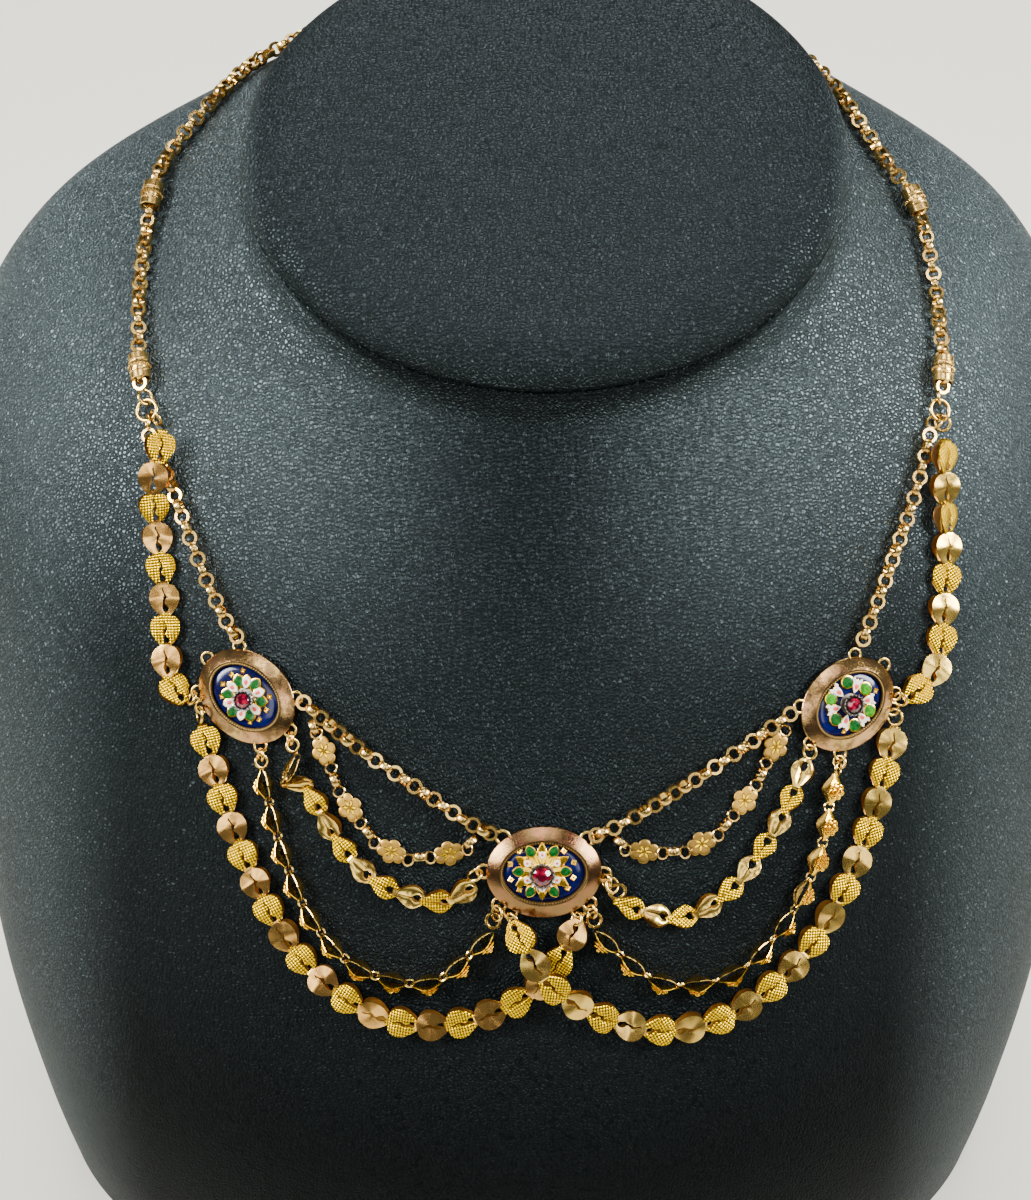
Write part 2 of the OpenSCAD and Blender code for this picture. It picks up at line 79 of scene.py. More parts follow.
# Strands in face coordinates: x across, v up the slope of the chest, lift
STRANDS = {
    "belcher_side_left": [
        [-65.2, 76.6], [-61.3, 68.5], [-58, 59.5], [-55, 52], [-51.5, 45], [-49.3, 42]],
    "belcher_side_right": [
        [71.5, 76.8], [69.8, 70], [67.5, 63], [65, 56.5], [62.8, 50.5], [59.3, 41.5]],
    "belcher_front_left": [
        [-37, 30], [-29.5, 23.8], [-20, 17], [-10.5, 10.7], [-5.5, 8.2]],
    "belcher_front_right": [
        [45.6, 28], [38, 22.5], [28, 16.2], [18, 10.2], [12.7, 7.6]],
    "leaf_side_left": [
        [-62.8, 77.5, 2.9], [-62.3, 74.5, 3.1], [-63.6, 69, 2.5], [-64.1, 63, 0.7], [-63.4, 55],
        [-62.5, 47.5], [-62.2, 40], [-61.7, 35], [-60.2, 32], [-58.8, 30.9]],
    "leaf_side_right": [
        [73.4, 76.8, 2.5], [73.2, 73.5, 2.5], [74.1, 66, 1], [75, 57], [74.3, 46], [73.7, 39],
        [72.2, 34.7], [69.2, 32.3], [67.6, 31]],
    "leaf_outer_left": [
        [-55.5, 25.4], [-53.5, 18.3], [-50.3, 8.5], [-46.2, -1.2], [-41.2, -10.5], [-34.5, -18.3],
        [-25.6, -23.9], [-15.4, -25.8], [-5.2, -23.5], [2.8, -18.6], [7, -13], [9.6, -7.6]],
    "leaf_outer_right": [
        [65.2, 25.2], [63.4, 18], [60.3, 7.2], [56.4, -2.4], [51, -11.6], [44, -19.2],
        [35, -24.9, 0], [24.7, -26.8, 0], [14.8, -24.5, 0.4], [6, -18.7, 2.4], [2.3, -14.2, 2.8],
        [-0.3, -9.7, 1.6], [-1.6, -7.4, 0.4]],
    "leaf_inner_left": [
        [-39.6, 21.4], [-38.4, 17], [-35.6, 13.2], [-31, 5.5], [-24.2, -1], [-14.7, -3.7],
        [-10.2, -2.1], [-8.7, -0.9]],
    "leaf_inner_right": [
        [49.4, 20.4], [46.6, 13.8], [42.2, 6], [36, -2], [27.4, -6.8], [18.6, -4.8], [16.8, -3.2]],
    "flowers_left": [
        [-36.1, 26.5], [-34.1, 21.5], [-30, 12.5], [-22.4, 4.6], [-12.8, 4.4], [-8.4, 6.9]],
    "flowers_right": [
        [45.2, 24.7], [43.6, 22], [38.5, 13.3], [30.9, 5.9], [21, 4.7], [16.4, 6.7]],
    "lozenges_left": [
        [-44.6, 18.6], [-44.3, 15.8], [-41.3, 4.2], [-36.4, -7.2], [-28.1, -15.8], [-16, -18],
        [-7.3, -11.3], [-5.3, -8.6]],
    "lozenges_right": [
        [54.2, 17.8], [53.7, 14.5], [51.4, 3.2], [45.7, -8.1], [36.6, -16.9], [24.3, -18.1],
        [14.6, -10.9], [12.8, -8.4]]}

# Jump rings on the plaque loops: loop, heading, distance, tilt, mean radius
RINGS_PLAQUE = [
    [[2, 240, 1.3, 50, 1], [3, 272, 1.45, 50, 1.15], [4, 272, 1.25, 50, 0.9],
     [4, 274, 2.5, -40, 0.9], [5, 262, 1.3, 50, 0.95], [5, 276, 2.55, -40, 0.9]],
    [[2, 208, 1.3, 60, 1], [3, 272, 1.2, 50, 0.85], [3, 298, 2.2, -40, 1], [4, 265, 1.35, 50, 1],
     [5, 300, 1.2, 50, 0.9], [6, 275, 1.25, 50, 0.9], [7, 245, 1.2, 50, 0.85]],
    [[2, 300, 1.3, 50, 1], [3, 270, 1.45, 50, 1.15], [4, 262, 1.25, 50, 0.9],
     [4, 260, 2.5, -40, 0.9], [5, 275, 1.35, 50, 1]]]
# Small rings by the side rings: x, v, heading, tilt, lift, mean radius
RINGS_SIDE = [
    [[-66.57, 84.22, 99, 55, 1.6, 1.25], [-66, 79.56, 275, 55, 1.6, 1.25],
     [-64.48, 80.36, 318, 55, 1.6, 1.25]],
    [],
    [[73.82, 84.52, 92, 55, 1.6, 1.25], [72.8, 80.13, 242, 55, 1.6, 1.25],
     [74.36, 79.9, 282, 55, 1.6, 1.25]]]
# The drawn jump rings are larger than the CAD's: share of the radius, and wire
PLAQUE_RING_SHARE, PLAQUE_RING_WIRE, SIDE_RING_SHARE, SIDE_RING_WIRE = 1.28, 0.625, 1.1, 0.6
# Big round rings: x, v
SIDE_RINGS = [[-66.2, 81.9], [73.9, 82.2]]
SIDES = ["left", "centre", "right"]


# The bust's skin and routes on it

def unit(v):
    """Vectors scaled to length one."""
    return v / np.linalg.norm(v, axis=-1, keepdims=True)


def along(rows, s):
    """Rows of a table at places s, on a smooth curve through four neighbouring rows."""
    r = np.asarray(rows, float)
    n = len(r) - 1
    s = np.asarray(s, float)
    i = np.clip(np.floor(s).astype(int), 0, n - 1)
    t = (s - i)[..., None]
    a, b, c, d = r[np.maximum(i - 1, 0)], r[i], r[i + 1], r[np.minimum(i + 2, n)]
    return 0.5 * (2 * b + (c - a) * t + (2 * a - 5 * b + 4 * c - d) * t * t
                  + (3 * b - 3 * c + d - a) * t ** 3)


def skin(s, a):
    """Bust: at level s and angle a in degrees, an oval whose front half and back half have their
    own depths, in a plane tilted back about x."""
    s, a = np.broadcast_arrays(np.asarray(s, float), np.radians(a))
    r = along(SECTIONS, s)
    tilt = np.radians(r[..., 2])
    depth = np.where(np.sin(a) < 0, r[..., 3], r[..., 4]) * np.sin(a) + r[..., 3]
    return np.stack([r[..., 5] * np.cos(a) + r[..., 6], r[..., 0] + depth * np.cos(tilt),
                     r[..., 1] + depth * np.sin(tilt)], -1)


def skin_normal(s, a):
    """Outward normal: the cross product of the steps round and up the skin."""
    s = np.asarray(s, float)
    return unit(np.cross(skin(s, a + 1) - skin(s, a - 1),
                         skin(np.minimum(s + 0.01, TOP), a) - skin(np.maximum(s - 0.01, 0), a)))


def front_angle(s, x):
    """Angle in degrees at which the front of a level's oval has a given x."""
    r = along(SECTIONS, s)
    return 360 - np.degrees(np.arccos(np.clip((x - r[..., 6]) / r[..., 5], -1, 1)))


HALVINGS = 26


def face_place(x, v):
    """Skin point and normal at face coordinates: the level where the slope height is v, by
    halving."""
    x, v = np.broadcast_arrays(np.asarray(x, float), np.asarray(v, float))
    low, high = np.full(x.shape, 1.0), np.full(x.shape, float(TOP))
    for _ in range(HALVINGS):
        mid = (low + high) / 2
        r = along(SECTIONS, mid)
        over = (np.abs(x - r[..., 6]) >= r[..., 5]) | (
            (skin(mid, front_angle(mid, x)) - FACE_ORIGIN) @ SLOPE > v)
        high, low = np.where(over, mid, high), np.where(over, low, mid)
    level = (low + high) / 2
    a = front_angle(level, x)
    return skin(level, a), skin_normal(level, a)


# Points of a route for each row of its table, and half the length over which its direction is
# taken
FINE, REACH = 24, 1.2


class Route:
    """A smooth curve laid on the bust at a height: points and normals by length along it. The
    normals lean towards the camera by the facing."""

    def __init__(self, rows, height, neck=False, facing=0.0):
        rows = [list(r) + [0] * (3 - len(r)) for r in rows]
        r = along(rows, np.arange((len(rows) - 1) * FINE + 1) / FINE)
        if neck:
            p, n = skin(r[:, 1], r[:, 0]), skin_normal(r[:, 1], r[:, 0])
        else:
            p, n = face_place(r[:, 0], r[:, 1])
        self.p = p + n * (height + r[:, 2:3])
        self.n = unit(n + TO_CAMERA * facing)
        self.s = np.concatenate([[0], np.cumsum(np.linalg.norm(np.diff(self.p, axis=0), axis=1))])
        self.length = self.s[-1]

    def read(self, q, s):
        """The curve's points or normals q at lengths s."""
        return np.stack([np.interp(s, self.s, q[:, k]) for k in range(3)], -1)

    def at(self, share, roll=0.0):
        """Frames at shares of the length: origin, and the axes across, along and outward. The
        roll, in degrees, turns outward towards across. Below 0 the curve goes on straight."""
        s = np.atleast_1d(share) * self.length
        before = self.p[0] + s[:, None] * unit(self.p[1] - self.p[0])
        o = np.where((s < 0)[:, None], before, self.read(self.p, s))
        ahead = np.clip(s + REACH, REACH, self.length)
        back = np.clip(s - REACH, 0, self.length - REACH)
        d = unit(self.read(self.p, ahead) - self.read(self.p, back))
        x = unit(np.cross(d, self.read(self.n, s)))
        z = np.cross(x, d)
        f = np.radians(np.broadcast_to(roll, s.shape))[:, None]
        return o, np.stack([x * np.cos(f) - z * np.sin(f), d, z * np.cos(f) + x * np.sin(f)], 1)


def stand_on(place, h=0.0, turn=0.0):
    """One frame on the bust, a height h above a place: its z along the normal, turned about it."""
    p, n = place
    x = unit(np.array([1, 0, 0]) - n * n[0])
    y = np.cross(n, x)
    c, s = math.cos(math.radians(turn)), math.sin(math.radians(turn))
    return (p + n * h)[None], np.stack([x * c + y * s, y * c - x * s, n])[None]


# Surfaces as arrays

class Shape:
    """A surface: points, faces of three or four corners, a flat coordinate for each point, a
    finish number for each face, and a tone for each point."""

    def __init__(self, v, f, uv, finish=0, tone=None):
        self.v = np.asarray(v, float)
        self.f = f
        self.uv = uv
        self.fin = np.full(len(f), finish) if np.isscalar(finish) else finish
        self.tone = np.zeros(len(self.v)) if tone is None else tone

    def moved(self, by=(0, 0, 0), scale=1.0, turn=(0, 0, 0)):
        """The shape scaled, then turned about x, y and z by degrees, then moved."""
        a, b, c = np.radians(turn)
        rx = np.array([[1, 0, 0], [0, math.cos(a), -math.sin(a)], [0, math.sin(a), math.cos(a)]])
        ry = np.array([[math.cos(b), 0, math.sin(b)], [0, 1, 0], [-math.sin(b), 0, math.cos(b)]])
        rz = np.array([[math.cos(c), -math.sin(c), 0], [math.sin(c), math.cos(c), 0], [0, 0, 1]])
        v = (self.v * scale) @ (rz @ ry @ rx).T + np.asarray(by, float)
        return Shape(v, self.f, self.uv, self.fin, self.tone)

    def finished(self, number):
        """The shape with another finish number, one for all faces or one for each."""
        return Shape(self.v, self.f, self.uv, number, self.tone)


def outward(v, f):
    """Faces turned over where the volume that they close comes out negative."""
    a, b, c, d = (v[f[:, k]] for k in range(4))
    total = (a * np.cross(b, c)).sum() + (a * np.cross(c, d)).sum()
    return f if total > 0 else f[:, ::-1].copy()


def loft(rings, closed=False, uv=None, finish=0):
    """A closed surface through rings of points, an array of rings by points by xyz. Either the
    last ring joins the first, or both ends close on their middles. The flat coordinates are x
    and y where no others are given."""
    rings = np.asarray(rings, float)
    uv = rings[..., :2] if uv is None else uv
    m, n = rings.shape[:2]
    v, flat = rings.reshape(-1, 3), uv.reshape(-1, 2)
    i, k = np.arange(m if closed else m - 1)[:, None], np.arange(n)
    j, after = (i + 1) % m, (k + 1) % n
    f = np.stack([i * n + k, j * n + k, j * n + after, i * n + after], -1).reshape(-1, 4)
    if not closed:
        low, high, top = np.full(n, m * n), np.full(n, m * n + 1), (m - 1) * n
        first = np.stack([low, k, after, low], -1)
        last = np.stack([high, top + after, top + k, high], -1)
        f = np.vstack([f, first, last])
        v = np.vstack([v, rings[0].mean(0), rings[-1].mean(0)])
        flat = np.vstack([flat, uv[0].mean(0), uv[-1].mean(0)])
    return Shape(v, outward(v, f), flat, finish)


def tiers(edge, steps, finish=0):
    """A surface through copies of an outline: each step is a scale and a height."""
    k, h = np.array(steps, float).T[..., None, None]
    rings = [edge * k, np.broadcast_to(h, (len(steps), len(edge), 1))]
    return loft(np.concatenate(rings, -1), finish=finish)


def joined(shapes):
    """Several shapes as one."""
    start = np.cumsum([0] + [len(s.v) for s in shapes[:-1]])
    return Shape(np.vstack([s.v for s in shapes]),
                 np.vstack([s.f + k for s, k in zip(shapes, start)]),
                 np.vstack([s.uv for s in shapes]), np.concatenate([s.fin for s in shapes]),
                 np.concatenate([s.tone for s in shapes]))


def repeated(shape, frames, tones=None, scale=1.0):
    """A shape set in every frame: origin plus its x, y and z along the frame's axes."""
    o, axes = frames
    n, m = len(o), len(shape.v)
    v = o[:, None, :] + np.einsum("mk,nkj->nmj", shape.v * scale, axes)
    f = shape.f[None] + (np.arange(n) * m)[:, None, None]
    tones = np.zeros(n) if tones is None else tones
    return Shape(v.reshape(-1, 3), f.reshape(-1, 4), np.tile(shape.uv, (n, 1)),
                 np.tile(shape.fin, n), np.repeat(tones, m) + np.tile(shape.tone, n))


def piece(name, node, shape, materials, sharp=38.0):
    """Makes the mesh in metres, with its flat coordinates and tones, and hands it to the frame in
    place of its CAD node. Edges sharper than so many degrees stay sharp."""
    mesh = bpy.data.meshes.new(name)
    faces = [[int(c) for c in dict.fromkeys(f)] for f in shape.f.tolist()]
    mesh.from_pydata((shape.v * MM).tolist(), [], faces)
    corner = np.empty(len(mesh.loops), int)
    mesh.loops.foreach_get("vertex_index", corner)
    flat = mesh.uv_layers.new(name="flat")
    flat.data.foreach_set("uv", shape.uv[corner].ravel())
    tone = mesh.attributes.new("tone", "FLOAT", "POINT")
    tone.data.foreach_set("value", shape.tone)
    for m in materials:
        mesh.materials.append(m)
    mesh.polygons.foreach_set("material_index", shape.fin.astype(np.int32))
    mesh.polygons.foreach_set("use_smooth", np.ones(len(mesh.polygons), bool))
    mesh.update()
    mesh.set_sharp_from_angle(angle=math.radians(sharp))
    o = bpy.data.objects.new(name, mesh)
    bpy.context.scene.collection.objects.link(o)
    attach(o, "root")
    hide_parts(node)
    return o


# Link shapes

def circle(n, r=1.0, start=0.0):
    """n points round a circle, from the start angle in radians."""
    a = start + np.arange(n) * TAU / n
    return np.stack([np.cos(a) * r, np.sin(a) * r], -1)


def turned(profile, count):
    """A profile of radius and height turned about z: points by profile row, angle and xyz."""
    q = np.asarray(profile, float)[:, None]
    return np.concatenate([q[..., :1] * circle(count), np.repeat(q[..., 1:], count, 1)], -1)


def ring(rx, ry, wire, around=22, section=8, wide=None):
    """A ring in the xy plane: an oval of half lengths rx and ry swept by a round wire, or by a
    flat band of the given width along z."""
    c = circle(around)
    out = unit(c * [ry, rx])
    if wide is None:
        q = circle(section, wire / 2, TAU / section / 2)
    else:
        a, b = wire / 2, wide / 2
        q = np.array([[-a, -b], [a * 0.7, -b], [a, -b * 0.6], [a, b * 0.6], [a * 0.7, b], [-a, b]])
    pts = np.empty((around, len(q), 3))
    pts[..., :2] = (c * [rx, ry])[:, None] + out[:, None] * q[:, :1]
    pts[..., 2] = q[:, 1]
    return loft(pts, closed=True)


# Thickness of the sheet that the links are made of
SHEET = 0.16


def sheet(x, y, z, side=1, flip=1, finish=0):
    """A thin plate whose middle surface has the given x, y and z, mirrored by side and flip."""
    middle = np.stack(np.broadcast_arrays(x, y, z), -1)
    half = np.array([0, 0, SHEET / 2])
    p = np.concatenate([middle + half, (middle - half)[:, ::-1]], 1)
    return loft(p * [side, 1, flip], finish=finish)


def lobe(side, rows, crown, shear=0.0, flip=1, finish=0):
    """One half of a leaf plate. Rows give y, the edge at the slit, the outer edge and the height
    of the sheet. Between the edges, for u from 0 to 1, the sheet rises by the crown times
    1 - |2u - 1| ^ 2.4, and the rows slant by the shear; both fade out at the ends."""
    u = np.linspace(0, 1, 6)
    y, inner, outer, height = (rows[:, k:k + 1] for k in range(4))
    fade = np.sin(np.linspace(0, math.pi, len(rows)))[:, None]
    swell = (1 - np.abs(2 * u - 1) ** 2.4) * fade ** 0.5
    return sheet(inner + (outer - inner) * u, y + shear * (u - 0.5) * fade,
                 height + crown * swell, side, flip, finish)


def strip(path, width, thick):
    """A flat strip along a path of y and z, closed at both ends."""
    p = np.asarray(path, float)
    d = unit(np.gradient(p, axis=0))
    n = np.stack([-d[:, 1], d[:, 0]], -1) * thick / 2
    sides = ((-1, n), (-0.85, n), (0.85, n), (1, n), (1, -n), (-1, -n))
    return loft(np.stack([np.insert(p + q, 0, width * k / 2, 1) for k, q in sides], 1))


# Half the outline of a wide leaf, from the tab to the hole, where it tapers: y, the edge at the
# slit, the outer edge and the height of the sheet
WIDE = [[-2.62, 0.0, 1.15, 0.66], [-2.4, 0.0, 1.76, 0.74], [-2.0, 0.03, 2.18, 0.82],
        [-1.5, 0.17, 2.46, 0.88], [-0.9, 0.12, 2.6, 0.92], [-0.35, 0.18, 2.6, 0.94],
        [0.0, 0.34, 2.54, 0.93], [0.3, 0.22, 2.45, 0.9], [0.75, 0.16, 2.27, 0.85],
        [1.05, 0.26, 2.1, 0.8], [1.3, 0.48, 1.94, 0.75], [1.65, 0.56, 1.7, 0.68],
        [2.0, 0.5, 1.45, 0.6], [2.3, 0.32, 1.22, 0.54], [2.45, 0.02, 1.1, 0.5],
        [2.85, 0.0, 0.8, 0.42]]
# The same for a narrow leaf
NARROW = [[-2.45, 0.02, 0.62, 0.6], [-1.9, 0.04, 0.95, 0.7], [-1.4, 0.06, 1.28, 0.78],
          [-0.9, 0.08, 1.56, 0.82], [-0.4, 0.1, 1.78, 0.84], [0.0, 0.12, 1.9, 0.82],
          [0.3, 0.2, 1.95, 0.8], [0.5, 0.44, 1.96, 0.76], [0.8, 0.64, 1.92, 0.7],
          [1.2, 0.7, 1.78, 0.62], [1.6, 0.62, 1.52, 0.54], [1.9, 0.4, 1.3, 0.48],
          [2.05, 0.03, 1.18, 0.45], [2.5, 0.0, 0.7, 0.38]]
# Path of the tab: y and z
TAB = [[-2.2, 0.82], [-2.5, 0.8], [-2.85, 0.74], [-3.1, 0.56], [-3.24, 0.2], [-3.24, -0.2],
       [-3.1, -0.56], [-2.85, -0.74], [-2.5, -0.8], [-2.2, -0.82]]


def leaf(narrow, polished):
    """A leaf link: a front and a back plate of two lobes each, bowed apart, and the tab that
    folds from one to the other round the link before. Finish 0 is textured or polished face, 1
    the back plates, whose darker gold is painted shade. The front of a wide polished link is bent
    along a ridge, and the slit of a wide link wavers by a quarter of a millimetre."""
    rows = np.array(NARROW if narrow else WIDE, float)
    crown, shear, tab_width, tab_height = -0.16 if polished else 0.12, 0.0, 1.15, 0.92
    if not narrow:
        crown, tab_width, tab_height = 0.03 if polished else 0.14, 1.7, 1.0
        if polished:
            ridge = -0.3
            slope = np.where(rows[:, 0] < ridge, 0.1, 0.13)
            rows[:, 3] = 0.98 - np.abs(rows[:, 0] - ridge) * slope
            shear = 0.7
    plates = [lobe(side, rows, crown, shear) for side in (-1, 1)]
    # The back plates take finish 1, a darker gold: painted shade.
    plates += [lobe(side, rows, 0.1, 0.0, -1, 1) for side in (-1, 1)]
    link = joined(plates + [strip(np.array(TAB) * [1, tab_height], tab_width, 0.2)])
    if not narrow:
        x, y = link.v[:, 0], link.v[:, 1]
        x += 0.24 * np.sin(2.7 * y) * np.clip(1 - np.abs(x) / 0.9, 0, 1) * (np.abs(y) < 2.2)
    return link


def lozenge():
    """A lozenge link: two pointed plates bowed apart, their edges at z = 0.16 + 0.86 cos of the
    way along and their middles higher, and on the front one a tall rosette: two tiers of small
    rings and a grain."""
    y = np.array([-2.9, -2.5, -2.1, -1.4, -0.7, 0.0, 0.5, 1.2, 1.9, 2.4, 2.8])[:, None]
    half = np.array([0.38, 0.42, 0.5, 0.88, 1.2, 1.5, 1.42, 0.98, 0.56, 0.42, 0.38])[:, None]
    rise = np.cos(np.clip(y / 2.75, -1, 1) * math.pi / 2) ** 0.9
    u = np.linspace(-1, 1, 6)
    lift = 0.16 + 0.86 * rise + 0.3 * rise * (1 - np.abs(u))
    parts = [sheet(half * u, y, lift), sheet(half * u, y, lift, flip=-1, finish=1)]
    wire = ring(0.44, 0.44, 0.28, 10, 5)
    for count, r, high in ((7, 1.08, 1.36), (4, 0.55, 1.78)):
        parts += [wire.moved((x, y + 0.15, high)) for x, y in circle(count, r, 0.3)]
    grain = tiers(circle(6), ((0.2, -0.25), (0.34, -0.05), (0.3, 0.15), (0.14, 0.28)))
    return joined(parts + [grain.moved((0, 0.15, 2.15))])


def flower():
    """A flat flower of six round lobes: radius c cos f + sqrt(a a - c c sin f sin f) for an angle
    f from the nearest lobe's middle, longer along the strand, on a plate with a raised heart."""
    n = 72
    a = np.arange(n) * TAU / n
    f = (a + TAU / 12) % (TAU / 6) - TAU / 12
    r = 0.62 * np.cos(f) + np.sqrt(0.135 - 0.3844 * np.sin(f) ** 2)
    share = np.array([0.1, 0.35, 0.6, 0.8, 0.93, 1.0, 1.0, 0.9])
    high = np.array([0.2, 0.18, 0.2, 0.21, 0.17, 0.08, -0.12, -0.15])
    flat = np.stack([r * np.cos(a), r * np.sin(a)], -1) * share[:, None, None]
    lift = np.broadcast_to(high[:, None, None], (len(share), n, 1))
    plate = loft(np.concatenate([flat * [2.15, 2.7], lift], -1), uv=flat)
    eye = ring(1.0, 0.85, 0.4, 18, 7).finished(1)
    return joined([plate, eye.moved((0, 3.3, 0)), eye.moved((0, -3.3, 0))])


BELCHER = ring(1.19, 1.19, 0.54, 20, wide=1.1)


def belcher_strand(route, pitch, roll, first=0.0, last=1.0):
    """Fine chain: flat-band rings a pitch apart, each turned a quarter from its neighbours, with
    a slow twist of up to the given roll."""
    n = int(round((last - first) * route.length / pitch)) + 1
    k = np.arange(n)
    turn = np.where(k % 2 == 0, 0.0, 90.0) + np.sin(k * 2.7) * 5 + np.sin(k * 0.37) * roll
    return repeated(BELCHER, route.at(np.linspace(first, last, n), turn), np.sin(k * 4.1) * 0.5)


def barrel():
    """A barrel bead turned about y: two plain collars, two rope rims, and a belt of granules,
    open at both ends."""
    n, rope_radius, beads_round, belt = 40, 1.96, 20, 1.92
    half = np.array([[1.86, 0.35], [1.8, 0.62], [rope_radius, 0.8], [rope_radius, 1.0], [1.8, 1.2],
                     [1.88, 1.3], [1.85, 2.35], [1.7, 2.45], [1.45, 2.3]])
    prof = np.vstack([half[::-1] * [1, -1], half, [1.4, 0]])
    p = turned(prof, n).swapaxes(0, 1)
    p[:, prof[:, 0] == rope_radius, :2] *= 1 + 0.03 * np.sin(np.arange(n) * TAU / 4)[:, None, None]
    bead = tiers(circle(6), ((0.1, -0.22), (0.24, -0.08), (0.24, 0.1), (0.1, 0.22)))
    beads = [bead.moved((x, 0, z), turn=(90, 0, 0)) for x, z in circle(beads_round, belt)]
    return joined([loft(p[..., [0, 2, 1]], closed=True)] + beads)


def clasp():
    """A plain barrel turned about x, with a neck near each end."""
    half = np.array([[1.7, 2.8], [1.5, 3.0], [1.7, 3.2], [1.6, 4.0], [1.3, 4.4], [0.5, 4.5]])
    return loft(turned(np.vstack([half[::-1] * [1, -1], half]), 32)[..., [2, 0, 1]])


# Plaques

def oval_rings(profile):
    """Ovals parallel to the plaque's edge: for each inset and height, half lengths less the
    inset."""
    c = circle(112)
    q = np.asarray(profile, float)[:, None]
    oval = c * (np.array([PLAQUE_LONG, PLAQUE_SHORT]) / 2 - q[..., :1])
    return np.concatenate([oval, np.repeat(q[..., 1:], len(c), 1)], -1)


def plaque_body():
    """Back plate and sloping rim, and a bezel with two fine lips round the enamel. The bezel is
    a dark gold, painted shade in its channel.
    """
    w = RIM_W
    body = loft(oval_rings([
        [0.4, 0], [0.08, 0.2], [0, 0.4], [0, 0.82], [0.08, 0.98], [0.2, 1.06], [0.9, 1.48],
        [1.7, 1.92], [w - 0.16, 2.2], [w - 0.06, 2.24], [w, 2.2], [w + 0.04, 1.2],
        [w + 2.5, PLATE_T]]))
    # Finish 3 is a dark gold: painted shade in the bezel's channel.
    bezel = loft(oval_rings([
        [w - 0.03, 1.1], [w - 0.03, 2.24], [w + 0.02, 2.3], [w + 0.08, 2.26], [w + 0.1, 2.06],
        [w + 0.54, 2.0], [w + 0.56, 2.12], [w + 0.6, 2.1], [w + 0.62, 1.1]]), finish=3)
    return joined([body, bezel])


def milgrain():
    """A row of small grains on the bezel, each a low dome."""
    n = 92
    half = np.array([PLAQUE_LONG / 2, PLAQUE_SHORT / 2]) - RIM_W - 0.32
    grain = tiers(circle(6), ((0.18, -0.1), (0.18, 0.1), (0.09, 0.24)), finish=2)
    o = np.insert(circle(n) * half, 2, 2.06, 1)
    return repeated(grain, (o, np.broadcast_to(np.eye(3), (n, 3, 3))))


def glass():
    """The enamel: a low dome inside the bezel."""
    inset, base = RIM_W + BEZEL_W, PLATE_T + 0.02
    return loft(oval_rings([[inset + q, base + h] for q, h in (
        (0.14, 0), (0.14, 0.5), (0.25, 0.62), (0.5, 0.76), (1.0, 0.88), (1.8, 0.97), (2.8, 1.03),
        (3.8, 1.07), (4.9, 1.1))]))


def loop_place(i, angle):
    """Middle of a soldered loop on plaque i, at an angle in the face's own directions."""
    b = math.radians(angle - PLAQUES[i][2])
    e = 1 / math.hypot(math.cos(b) / (PLAQUE_LONG / 2), math.sin(b) / (PLAQUE_SHORT / 2))
    r = e + LOOP_R - LOOP_WIRE / 2
    a = math.radians(angle)
    return np.array([math.cos(a) * r, math.sin(a) * r, LOOP_H])


def outline(length, width, point=1.0, bias=0.0, count=24):
    """A petal's edge: x = cos, y = sin to the power that gives its point, wider by the bias
    towards the outer end."""
    c = circle(count)
    y = np.sign(c[:, 1]) * np.abs(c[:, 1]) ** point * (1 + bias * c[:, 0])
    return np.stack([c[:, 0] * length / 2, y * width / 2], -1)


def dome(edge, low, high, finish):
    """A low dome over an edge line: upright at the edge, then rounding to a level middle."""
    rise = high - low
    return tiers(edge, ((1.0, low), (1.0, high - 0.06 - rise * 0.25), (0.96, high - rise * 0.2),
                        (0.8, high - rise * 0.08), (0.5, high), (0.2, high)), finish)


def cell(r, angle, length, width, z, fill, point, bias, drop, rim):
    """An enamelled cell: a gold tray standing at radius r and angle, its enamel, and a small
    drop of another colour on it."""
    edge = outline(length, width, point, bias)
    inner = outline(length - 2 * rim, width - 2 * rim, point, bias)
    parts = [dome(edge, z - 0.35, z + 0.14, 0), dome(inner, z, z + 0.27, fill)]
    if drop:
        shift, long, broad, colour = drop
        parts.append(dome(outline(long, broad, 1.0, 0.3, 14) + [shift, 0], z + 0.1, z + 0.36,
                          colour))
    a = math.radians(angle)
    return joined(parts).moved((r * math.cos(a), r * math.sin(a), 0), turn=(0, 0, angle))


def square(x, y, z, turn):
    """A small gold pyramid-cut square."""
    edge = np.array([[1, 0], [0, 1], [-1, 0], [0, -1]]) * 0.62
    solid = tiers(edge, ((1, -0.15), (1, 0.1), (0.55, 0.24), (0.2, 0.14)))
    return solid.moved((x, y, z), turn=(0, 0, turn))


WHITE, GREEN, PINK, PALE, SEAT = 1, 2, 3, 4, 5
STAR_Z = PLATE_T + DOME_H + 0.1

# Cells of the raised work, by plaque: angles, radius, length, width, lift, colour, point, bias,
# drop and width of the rim. A drop has its shift, length, width and colour
CELLS = [
    [((20, 81, 139, 198, 260, 316), 3.0, 2.8, 1.95, 0.25, WHITE, 1.5, 0.1,
      (-0.1, 1.0, 0.75, PINK), 0.17),
     ((50, 109, 168, 228, 289, 350), 3.3, 2.8, 2.4, 0.16, GREEN, 1.6, 0.0, None, 0.24)],
    [(range(0, 360, 60), 4.1, 2.3, 1.9, 0.2, GREEN, 1.3, -0.15, None, 0.17),
     (range(30, 360, 60), 2.95, 1.4, 1.4, 0.3, WHITE, 1.0, 0, (0, 0.5, 0.5, PINK), 0.1)],
    [((99, 223, 282), 4.1, 2.6, 2.7, 0.1, GREEN, 1.0, 0.0, None, 0.22),
     ((42, 166, 341), 4.1, 2.6, 2.7, 0.1, PALE, 1.0, 0.0, None, 0.22),
     ((72, 139, 10, 194, 311, 251), 3.4, 2.8, 1.6, 0.22, WHITE, 1.7, 0.35,
      (-0.1, 1.1, 0.8, PINK), 0.1),
     ((81, 63, 148, 130, 19, 1, 203, 185, 320, 302, 260, 242), 4.6, 1.1, 0.8, 0.1, WHITE, 1.6,
      -0.3, None, 0.05)]]
